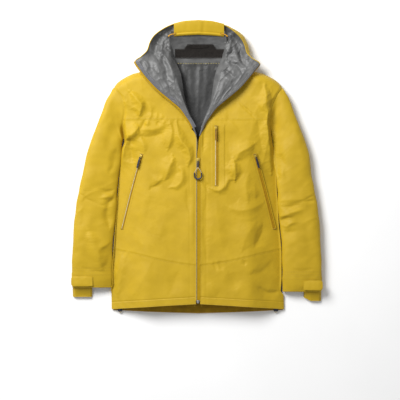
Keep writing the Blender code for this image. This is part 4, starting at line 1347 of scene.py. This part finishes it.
def sleeve_rings(side, k):
    """Rings of the whole sleeve from the armhole to the cuff, and the rows where its parts meet."""
    table = np.array([[*outer, *inner, height] for outer, inner, height in SLEEVE])
    middle = (table[:, 0:2] + table[:, 2:4]) / 2
    reach = np.concatenate([[0.0], np.cumsum(np.linalg.norm(np.diff(middle, axis=0), axis=1))])
    at = np.linspace(0.0, reach[-1], int(reach[-1] / STEP))
    outer_x, outer_y, inner_x, inner_y, height = (curve(np.stack([reach, column], 1), at)[:, None]
                                                  for column in table.T)
    angle = np.linspace(0, 2 * math.pi, RING, endpoint=False)
    lateral = np.sign(np.cos(angle)) * np.abs(np.cos(angle)) ** 0.70
    vertical = np.sign(np.sin(angle)) * np.abs(np.sin(angle)) ** 0.66
    inner_x = inner_x - INNER_CLOSE[side] * smooth((CLOSE_FROM[side] - inner_y) / 0.06)
    inner_x = inner_x - LOW_CLOSE[side] * smooth((-0.06 - inner_y) / 0.08)
    x = (outer_x + inner_x) / 2 + lateral * (outer_x - inner_x) / 2
    y = (outer_y + inner_y) / 2 + lateral * (outer_y - inner_y) / 2
    slope, foot = ARMHOLE_CHORD
    near = 1.0 - smooth(at / 0.060)[:, None]
    x = x + (side_x(side, y) - 0.0030 - (foot + slope * y)) * near
    tilt = 1 + SLEEVE_TILT[side] * lateral * smooth(at / 0.05)[:, None]
    z = 0.0008 + height / 2 * (1 + vertical) * tilt
    joined = (1.0 - smooth(at / 0.030))[:, None] * (vertical > 0)
    z = blend_values(z, np.minimum(front_height(side, k * x, y) - 0.0016, 1.0),
                     joined * np.clip(vertical, 0, 1) ** 0.3)
    covered = front_height(side, k * x, y) - 0.0016
    z = blend_values(z, np.minimum(z, covered), 1.0 - smooth((at - 0.006) / 0.014)[:, None])
    top = np.clip(vertical, 0.0, 1.0) ** 0.6
    x, y = x + outer_lean(side, x, y), y + cuff_drop(side, y)
    relief = FOLD_DEPTH * fold_relief(k * x, y, SLEEVE_FOLDS[side])
    relief = relief + 0.0020 * value_noise(x, y, 0.042, 91 + k) + 0.0006 * value_noise(x, y, 0.017, 95 + k)
    elbow = 0.3 + np.exp(-((y + 0.12) / 0.07) ** 2)
    relief = relief + 0.0012 * elbow * crumple(x, y, 0.034, 93 + k, 0.5 * k, 1.8)
    ease = smooth(at / 0.012)[:, None]
    z = z + relief * top * ease * (1.0 - joined)
    x = x + 0.0011 * value_noise(z * 2 + 1, y, 0.030, 97) * ease * lateral
    parts = [int(np.searchsorted(at, reach[station])) for station in (ELBOW_STATION, CUFF_STATION)]
    return np.stack([k * x, y, np.maximum(z, 0.0008)], -1), parts


def shrunk(rings, gap):
    """Rings moved in along their surface's normals; gap is one number or one per ring."""
    around = np.roll(rings, -1, axis=1) - np.roll(rings, 1, axis=1)
    along = np.gradient(rings, axis=0)
    normal = np.cross(around, along)
    normal = normal + 0.5 * (np.roll(normal, 1, axis=1) + np.roll(normal, -1, axis=1))
    outward = rings - rings.mean(1, keepdims=True)
    if (normal * outward).sum() < 0:
        normal = -normal
    normal /= np.maximum(np.linalg.norm(normal, axis=-1, keepdims=True), 1e-12)
    return rings - normal * np.reshape(gap * np.ones(len(rings)), (-1, 1, 1))


def sleeve_skin(name, rings):
    """A closed sleeve of cloth with the lining on its inner face."""
    inner = shrunk(rings, SLEEVE_THICK)[::-1]
    return ring_solid(name, np.concatenate([rings, inner]), FACE, len(rings), LINING)


def tucked(rings):
    """Rings whose first four rows slip under the part before them."""
    return shrunk(rings, 0.0016 * np.clip(1.0 - np.arange(len(rings)) / 4, 0.12, 1.0))


def make_sleeve(side, k):
    """Upper sleeve, forearm, cuff, tab and hand cover of one sleeve."""
    rings, (elbow, cuff) = sleeve_rings(side, k)
    upper = sleeve_skin(f"upper_sleeve_cloth_{side}", rings[:elbow + 2])
    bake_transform(upper)
    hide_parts(f"sleeve_head_{side}", f"upper_sleeve_{side}")
    lower = sleeve_skin(f"lower_sleeve_cloth_{side}", tucked(rings[elbow - 3:cuff + 3]))
    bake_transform(lower)
    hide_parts(f"elbow_panel_{side}", f"forearm_{side}")
    make_cuff(side, rings[cuff:])
    make_cuff_tab(side, k)
    make_hand_cover(side, k)
    for n, row in enumerate((cuff - 3, cuff - 7)):
        half = rings[row][: RING // 2 + 1]
        path = smooth_path(half + np.array((0.0, 0.0, 0.0003)), STITCH_PITCH)
        sew(f"forearm_stitches_{n + 1}_{side}", path, YELLOW_THREAD, f"forearm_{side}")


def make_cuff(side, rings):
    """The cuff with its turned-in edge."""
    rings = shrunk(rings, -0.0007)
    lip = shrunk(rings, 0.0014)[-1:]
    lip[..., 1] -= 0.0010
    inner = shrunk(rings, 0.0030)[::-1]
    cuff = ring_solid(f"cuff_cloth_{side}", np.concatenate([rings, lip, inner]), FACE, len(rings) + 4, LINING)
    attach(cuff, f"forearm_{side}")
    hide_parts(f"cuff_{side}")
    for n, row in enumerate((-4, 3)):
        half = rings[row][: RING // 2 + 1]
        path = smooth_path(half + np.array((0.0, 0.0, 0.0003)), STITCH_PITCH)
        sew(f"cuff_stitches_{n + 1}_{side}", path, YELLOW_THREAD, f"forearm_{side}")


def make_cuff_tab(side, k):
    """The tab that closes the cuff, with a round end and a row of stitches."""
    low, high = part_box(f"cuff_tab_{side}")
    fixed, free = min(abs(low.x), abs(high.x)), max(abs(low.x), abs(high.x))
    lean = OUTER_LEAN[side] * 0.9
    x = np.linspace(fixed - 0.001, free + lean + 0.0008, 60)
    round_end = 0.008
    end = np.clip((x - (x[-1] - round_end)) / round_end, 0.0, 1.0)
    rounding = round_end * (1 - np.sqrt(1 - 0.97 * end ** 2))
    half = (high.y - low.y) / 2 * (0.90 + 0.10 * smooth((x - fixed) / 0.02)) - rounding
    middle = (low.y + high.y) / 2 - CUFF_DROP[side] * 0.98
    share = np.linspace(-1.0, 1.0, 26)
    y = middle + half[:, None] * share[None]
    z = high.z - 0.0002 + 0.0012 * (1 - share[None] ** 4) * smooth((x[:, None] - fixed) / 0.02)
    z = z - 0.0030 * smooth((x[:, None] - (free - 0.020)) / 0.024)
    z = z + 0.0004 * value_noise(x[:, None] + 0 * y, y, 0.012, 99)
    surface = np.stack([k * x[:, None] + 0 * y, y, z], -1)
    tab = cloth(f"cuff_tab_cloth_{side}", surface, FACE, DARK_PLASTIC, 0.0019)
    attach(tab, f"cuff_tab_{side}")
    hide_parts(f"cuff_tab_{side}")
    inset = 0.0022
    loop = [(k * x[n], middle + half[n] - inset, z[n, 13] - 0.0008) for n in range(4, 52, 4)]
    loop += [(k * (x[-1] - inset), middle + v, z[-2, 13] - 0.0004) for v in (0.004, -0.004)]
    loop += [(k * x[n], middle - half[n] + inset, z[n, 13] - 0.0008) for n in range(51, 3, -4)]
    sew(f"cuff_tab_stitches_{side}", smooth_path(loop, 0.0026), YELLOW_THREAD, f"cuff_tab_{side}")


def make_hand_cover(side, k):
    """The longer back edge of the cuff, over the hand."""
    low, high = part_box(f"hand_cover_{side}")
    inner, outer = min(abs(low.x), abs(high.x)), max(abs(low.x), abs(high.x))
    drop = CUFF_DROP[side]
    share = np.linspace(0.0, 1.0, 60)
    x = blend_values(inner, outer + OUTER_LEAN[side] * 0.9, share)
    corner = np.clip(np.maximum((0.06 - share) / 0.06, (share - 0.96) / 0.04), 0.0, 1.0)
    slant = 0.0100 * smooth((0.45 - share) / 0.45) if side == "left" else 0.0 * share
    bottom = low.y - 0.0010 - drop + slant + 0.0030 * (1 - np.sqrt(1 - 0.99 * corner ** 2))
    top = COVER_TOP - drop
    rows = []
    for part in np.linspace(0.0, 1.0, 30):
        y = blend_values(bottom, top + 0 * x, part)
        z = blend_values(0.0110, 0.0205, smooth(part * 1.5)) + 0.0006 * value_noise(x, y, 0.014, 101)
        z = z - 0.006 * smooth((share - 0.86) / 0.14) - 0.006 * smooth((0.10 - share) / 0.10)
        rows.append(np.stack([k * x, y, z], -1))
    cover = cloth(f"hand_cover_cloth_{side}", np.array(rows), FACE, FACE, 0.0014)
    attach(cover, f"forearm_{side}")
    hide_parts(f"hand_cover_{side}")
    edge = np.array(rows)[3]
    path = smooth_path(edge[4:-3] + np.array((0, 0, 0.0002)), 0.0028)
    sew(f"hand_cover_stitches_{side}", path, YELLOW_THREAD, f"forearm_{side}")


# ---- zips ----------------------------------------------------------------------------
ZIP_HEIGHT = 0.0500
PIPING = {"left": (-0.0012, -0.0006, 0.0, 0.0010, 0.0020), "right": (-0.0024, -0.0014, 0.0, 0.0010, 0.0020)}


def make_front_zip(side, k):
    """Tape and coil of the closed part of the front zip."""
    route = [(0.0010, ZIP_BOTTOM), (0.0010, 0.012), (0.0014, 0.030), (0.0018, 0.060), (0.0030, 0.082),
             (0.0056, 0.0965)]
    spine = smooth_path([(k * x, y, ZIP_HEIGHT) for x, y in route], 0.0040)
    rows = []
    for share, rise in ((0.0, -0.0004), (0.06, 0.0004), (0.3, 0.0008), (0.6, 0.0006), (1.0, -0.0004)):
        row = spine.copy()
        closed = smooth((0.070 - spine[:, 1]) / 0.03)
        row[:, 0] = k * blend_values(np.abs(spine[:, 0]) - 0.0008 - k * 0.0026 * closed, 0.0088, share)
        row[:, 2] = ZIP_HEIGHT + 0.0016 + rise
        rows.append(row)
    look = TAPE if side == "left" else PALE_TAPE
    tape = cloth(f"front_zip_tape_{side}", np.array(rows), look, thick=0.0006)
    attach(tape, "torso")
    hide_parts(f"zip_tape_{side}")
    pitch = 0.0017
    path = smooth_path([(k * (x + 0.0003), y, ZIP_HEIGHT - 0.0002) for x, y in route], pitch)
    if k < 0:
        path[:, 1] += pitch / 2
    along, across, out = path_frames(path)
    teeth = beads(f"front_zip_coil_{side}", path, (across, along, out), (0.0016, 0.00062, 0.0009), COIL)
    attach(teeth, "torso")
    edge = [(k * (FRONT_EDGE + 0.0004), y) for y in (ZIP_BOTTOM - 0.004, -0.3, -0.15, 0.0, 0.094)]
    path = on_front(side, edge, 0.004, 0.0004)
    piping = strip(f"front_edge_fold_{side}", path, [k * v for v in PIPING[side]],
                   (-0.0006, 0.0006, 0.0009, 0.0005, -0.0007), FACE)
    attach(piping, "torso")


def make_pocket_zip(name, node, side, points, tapes, welt):
    """A laminated zip between welts: two smooth lips over the coil."""
    path = on_front(side, points, 0.0030, 0.0006)
    made = []
    for half, sign, (tape, wide) in (("first", 1, tapes[0]), ("second", -1, tapes[1])):
        lip = strip(f"{name}_{half}_lip", path,
                    [sign * v for v in (0.0001, 0.0005, 0.4 * wide, 0.85 * wide, wide)],
                    (-0.0004, 0.0006, 0.0009, 0.0005, -0.0004), tape)
        made.append(lip)
        edge = strip(f"{name}_{half}_welt", path,
                     [sign * (wide - 0.0002 + v) for v in (0.0, 0.0006, 0.0014, 0.0022, 0.0028)],
                     (0.0002, 0.0011, 0.0012, 0.0005, -0.0008), FACE)
        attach(edge, "torso")
        if welt:
            _, across, _ = path_frames(path)
            line = path + across * sign * WELT_OFFSET
            line[:, 2] = front_height(side, line[:, 0], line[:, 1]) + 0.0003
            stitched = smooth_path(line[3:-3], STITCH_PITCH)
            sew(f"{name}_{half}_welt_stitches", stitched, YELLOW_THREAD, "torso")
    lips = join(f"{name}_lips", *made)
    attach(lips, "torso")
    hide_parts(node)
    fine = on_front(side, points, 0.0015, -0.0020)
    along, across, out = path_frames(fine)
    coil = beads(f"{name}_coil", fine, (across, along, out), (0.0008, 0.0005, 0.0006), DARK_THREAD)
    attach(coil, "torso")
    ends = []
    for index in (0, -1):
        centre = path[index]
        _, across, _ = path_frames(path)
        line = np.array([centre + across[index] * v + np.array((0, 0, 0.0012))
                         for v in np.linspace(-0.005, 0.005, 9)])
        ends.append(beads(f"{name}_bar_tack_{index}", line, path_frames(line), (0.0009, 0.0011, 0.0005),
                          YELLOW_THREAD))
    tacks = join(f"{name}_bar_tacks", *ends)
    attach(tacks, "torso")


WIDE_OCHRE = (OCHRE_ZIP, 0.0062)
NARROW_OCHRE = (OCHRE_ZIP, 0.0040)
# The cream lip is the ochre laminated tape with a painted reflection.
NARROW_PAINTED_REFLECTION = (PAINTED_REFLECTION_ZIP, 0.0030)
ZIP_LIPS = {"right": (WIDE_OCHRE, NARROW_PAINTED_REFLECTION), "left": (WIDE_OCHRE, NARROW_OCHRE),
            "chest": (WIDE_OCHRE, NARROW_PAINTED_REFLECTION)}


def make_pocket_bags():
    """Mesh bags of the pockets, inside the front."""
    bags = [("chest_pocket_cloth", "chest_pocket_bag", "left", 1)]
    bags += [(f"hand_pocket_cloth_{side}", f"hand_pocket_bag_{side}", side, k) for side, k in SIDES]
    for name, node, side, k in bags:
        low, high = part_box(node)
        share = np.linspace(0.0, 1.0, 40)
        x, y = np.meshgrid(blend_values(low.x, high.x, share), blend_values(low.y, high.y, share))
        puff = np.sin(np.pi * share)[None] * np.sin(np.pi * share)[:, None]
        z = front_height(side, x, y) - 0.0040 - 0.0035 * puff ** 0.5
        bag = cloth(name, np.stack([x, y, z], -1), POCKET_MESH, thick=0.0006)
        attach(bag, "torso")
        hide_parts(node)


def make_zip_bottom():
    """The metal box and pin at the foot of the front zip."""
    low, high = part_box("zip_bottom_box")
    outline = mirrored([(0.0042, 0.0047), (0.0050, 0.0040), (0.0034, -0.0036), (0.0022, -0.0047)], 2)
    body = plate("zip_bottom_stop", outline, low.z + 0.0002, high.z - 0.0004, 0.0009, STOP_METAL)
    body.location = ((low.x + high.x) / 2, (low.y + high.y) / 2, 0.0)
    pin_line = [(0.0016, high.y - back, high.z - 0.0006) for back in (0.007, 0.001)]
    pin = tube("zip_pin", smooth_path(pin_line, 0.001), 0.0009, STOP_METAL, 10)
    stop = join("zip_bottom_stop", body, pin)
    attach(stop, "torso")
    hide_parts("zip_bottom_box")


# ---- sliders and pulls ------------------------------------------------------------------
def slide_frame(slide, hinge, offset):
    """Place and turn of a slider from its slide and its pull's hinge."""
    down = Vector(JOINTS[slide]["axis"]).normalized()
    across = Vector(JOINTS[hinge]["axis"]).normalized()
    out = across.cross(down)
    if out.z < 0:
        out = -out
    up = -down
    right = up.cross(out)
    turn = Matrix((right, up, out)).transposed()
    place = Vector(JOINTS[hinge]["pos_m"]) - turn @ Vector(offset)
    return Matrix.Translation(place) @ turn.to_4x4()


def slider_shape(name, half_x, low_y, high_y, base, top, material):
    """Slider body: lower plate with a flared mouth, side flanges, upper plate and the crown over the pull."""
    height = top - base
    neck_y = low_y * 0.45 + high_y * 0.55
    right = [(half_x * 0.82, high_y), (half_x, high_y - 0.0008), (half_x * 0.92, neck_y),
             (half_x * 0.66, low_y + 0.0006), (half_x * 0.5, low_y)]
    flare = mirrored(right, 2)
    lower = plate(f"{name}_lower", flare, base, base + height * 0.28, height * 0.07, material)
    upper = plate(f"{name}_upper", [(x * 0.97, y) for x, y in flare], base + height * 0.42,
                  base + height * 0.68, height * 0.07, material)
    middle = (low_y + high_y) / 2
    wedge = plate(f"{name}_wedge", rounded(half_x * 0.24, (high_y - low_y) * 0.30, half_x * 0.2,
                                           (0.0, middle + (high_y - low_y) * 0.14)),
                  base + height * 0.22, base + height * 0.48, height * 0.03, material)
    reach = (high_y - low_y) * 0.30
    arch = [(0.0, middle + reach * math.cos(a), base + height * 0.62 + height * 0.30 * math.sin(a))
            for a in np.linspace(0, math.pi, 13)]
    crown = tube(f"{name}_crown", arch, min(half_x * 0.2, height * 0.13), material, 12)
    return join(name, lower, upper, wedge, crown)


def make_main_slider():
    """Front slider with its stem, cord and ribbed grip."""
    low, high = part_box("main_slider")
    body = slider_shape("front_slider", high.x * 0.92, low.y, high.y, ZIP_HEIGHT + 0.0012, high.z,
                        SLIDER_PAINT)
    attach(body, "main_slider")
    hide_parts("main_slider")

    low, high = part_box("main_pull")
    half = high.x
    outline = rounded(half, (high.y - low.y) / 2, half * 0.7, (0.0, (low.y + high.y) / 2))
    eye = rounded(half * 0.45, 0.0016, half * 0.4, (0.0, high.y - 0.0036), 3)
    stem = plate("front_pull_stem", outline, low.z, high.z, 0.0004, DARK_PLASTIC, eye)
    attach(stem, "main_pull")
    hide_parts("main_pull")

    level = (low.z + high.z) / 2
    leg = ((0.0014, -0.0026), (0.0048, -0.0072), (0.0092, -0.0140), (0.0112, -0.0185))
    both = [(-x, y) for x, y in reversed(leg)] + [(0.0, -0.0019)] + list(leg)
    legs = smooth_path([(x, y, level) for x, y in both], 0.0008)
    cord = tube("front_pull_cord", legs, 0.0011, PALE_CORD, 10)
    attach(cord, "main_pull")
    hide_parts("main_pull_cord")

    low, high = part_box("main_pull_grip")
    radius = 0.0112
    turn = np.linspace(0, math.pi, 25)
    bend = [(-radius * math.cos(a), -0.0268 - radius * 0.98 * math.sin(a), level) for a in turn]
    route = [(-radius, high.y, level), (-radius, -0.0225, level), *bend, (radius, -0.0225, level),
             (radius, high.y, level)]
    path = smooth_path(route, 0.0007)
    share = np.linspace(-1, 1, len(path))
    thick = 0.0019 + 0.0005 * (1 - np.abs(share) ** 3)
    grip = tube("front_pull_grip", path, thick, DARK_PLASTIC, 14)
    ribs = []
    for n in np.linspace(0.34, 0.66, 7):
        spot = int(n * (len(path) - 1))
        ribs.append(tube("grip_rib", path[spot - 1: spot + 2], thick[spot] + 0.0002, DARK_PLASTIC, 14))
    ends = [tube("grip_end", path[s], 0.0023, DARK_PLASTIC, 14) for s in (slice(0, 5), slice(-5, None))]
    grip = join("front_pull_grip", grip, *ribs, *ends)
    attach(grip, "main_pull")
    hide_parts("main_pull_grip")


def make_pocket_slider(prefix, slide, hinge, slider_body, pull_body, pull_look):
    """Slider of a pocket zip, and its ribbed pull on a hinge."""
    frame_matrix = slide_frame(slide, hinge, (0.0, -0.0100, 0.0070))
    body = slider_shape(f"{prefix}_slider_body", 0.0042, -0.0140, -0.0020, 0.0014, 0.0056, SLIDER_PAINT)
    body.matrix_world = frame_matrix
    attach(body, slider_body)
    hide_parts(f"{prefix}_slider")
    outline = mirrored([(0.0020, -0.0098), (0.0024, -0.0104), (0.0026, -0.0180), (0.0031, -0.0220),
                        (0.0031, -0.0430), (0.0022, -0.0452)], 1)
    eye = rounded(0.0012, 0.0022, 0.0011, (0.0, -0.0135), 3)
    pull = plate(f"{prefix}_pull_plate", outline, 0.0061, 0.0079, 0.0005, pull_look, eye)
    ribs = []
    for y in np.linspace(-0.0250, -0.0410, 7):
        rib = [(-0.0019, y, 0.0078), (0.0, y, 0.0079), (0.0019, y, 0.0078)]
        ribs.append(tube("pull_rib", rib, 0.0005, pull_look, 8))
    pull = join(f"{prefix}_pull_plate", pull, *ribs)
    pull.matrix_world = frame_matrix
    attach(pull, pull_body)
    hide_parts(f"{prefix}_pull")


def make_hem_locks():
    """Cord locks at both ends of the hem, each with a small loop of cord."""
    for side, k in SIDES:
        low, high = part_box(f"hem_cord_lock_{side}")
        centre = ((low.x + high.x) / 2, (low.y + high.y) / 2 - 0.0040, 0.0)
        body = plate(f"hem_lock_body_{side}", rounded(0.0075, 0.0060, 0.0034), low.z - 0.0002,
                     high.z - 0.0016, 0.0012, DARK_PLASTIC)
        cap = rounded(0.0034, 0.0034, 0.0032)
        button = plate("lock_button", cap, high.z - 0.0020, high.z, 0.0006, DARK_PLASTIC)
        lock = join(f"hem_lock_body_{side}", body, button)
        lock.location = centre
        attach(lock, "torso")
        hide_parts(f"hem_cord_lock_{side}")
        route = [(centre[0] + k * dx, centre[1] + dy, z)
                 for dx, dy, z in ((-0.004, 0.010, 0.0072), (-0.005, -0.004, 0.0078),
                                   (-0.001, -0.0095, 0.0068),
                                   (0.004, -0.005, 0.0076), (0.004, 0.010, 0.0072))]
        loop = tube(f"hem_cord_loop_{side}", smooth_path(route, 0.0008), 0.0011, PALE_CORD, 8)
        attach(loop, "torso")


# ---- studio -----------------------------------------------------------------------------
VIEW_WIDTH = 1.26         # metres across the picture
VIEW_CENTRE = (0.0063, -0.1036)
LENS = 200.0              # a long lens, as for a flat product picture
SENSOR = 36.0
SKY_STRENGTH = 0.43
KEY_SIZE = 1.7
KEY_POWER = 123.0
KEY_PLACE = (-1.40, 1.56, 2.2)
KEY_AIM = (0.05, -0.05, 0.0)


def make_studio():
    """White floor, even sky, one large lamp and the camera straight above."""
    scene = bpy.context.scene
    scene.view_settings.view_transform = "Standard"
    bpy.ops.mesh.primitive_plane_add(size=14.0, location=(0.0, 0.0, -0.0003))
    floor = bpy.context.object
    floor.name = "pale_floor"
    paper = new_material("pale_paper", 0.9, specular=0.1)
    colour_by_noise(paper, (0.93, 0.93, 0.93), (0.95, 0.95, 0.95), 3.0)
    floor.data.materials.append(paper)
    world = bpy.data.worlds.new("studio")
    scene.world = world
    world.use_nodes = True
    world.node_tree.nodes["Background"].inputs["Color"].default_value = (1.0, 1.0, 1.0, 1.0)
    world.node_tree.nodes["Background"].inputs["Strength"].default_value = SKY_STRENGTH
    key = bpy.data.lights.new("key", "AREA")
    key.shape = "DISK"
    key.size = KEY_SIZE
    key.energy = KEY_POWER
    lamp = bpy.data.objects.new("key", key)
    lamp.location = KEY_PLACE
    lamp.rotation_euler = (Vector(KEY_AIM) - Vector(lamp.location)).to_track_quat("-Z", "Y").to_euler()
    scene.collection.objects.link(lamp)
    camera = bpy.data.cameras.new("camera")
    camera.lens = LENS
    camera.sensor_width = SENSOR
    camera.clip_end = 60.0
    eye = bpy.data.objects.new("camera", camera)
    eye.location = (*VIEW_CENTRE, CREST + VIEW_WIDTH * LENS / SENSOR)
    scene.collection.objects.link(eye)
    scene.camera = eye


def main():
    make_studio()
    make_back()
    make_hood_middle()
    make_label()
    make_peak()
    make_hood_cords()
    make_pocket_bags()
    for side, k in SIDES:
        make_front(side, k)
        make_side_panel(side, k)
        sew_front(side, k)
        make_opening(side, k)
        make_opening_edges(side, k)
        make_hood_shell(side, k)
        make_sleeve(side, k)
        make_front_zip(side, k)
        hand = [(k * x, y) for x, y in (HAND_ZIP[0], HAND_ZIP_MIDDLE, HAND_ZIP[1])]
        make_pocket_zip(f"hand_pocket_zip_{side}", f"hand_zip_{side}", side, hand,
                        ZIP_LIPS[side], True)
        make_pocket_slider(f"hand_{side}", f"hand_slide_{side}", f"hand_pull_hinge_{side}",
                           f"hand_slider_{side}", f"hand_pull_{side}", DARK_PLASTIC)
    make_pocket_zip("chest_pocket_zip", "chest_zip", "left", CHEST_ZIP, ZIP_LIPS["chest"], False)
    make_pocket_slider("chest", "chest_slide", "chest_pull_hinge", "chest_slider", "chest_pull",
                       OCHRE_PLASTIC)
    make_zip_bottom()
    make_main_slider()
    make_hem_locks()


main()
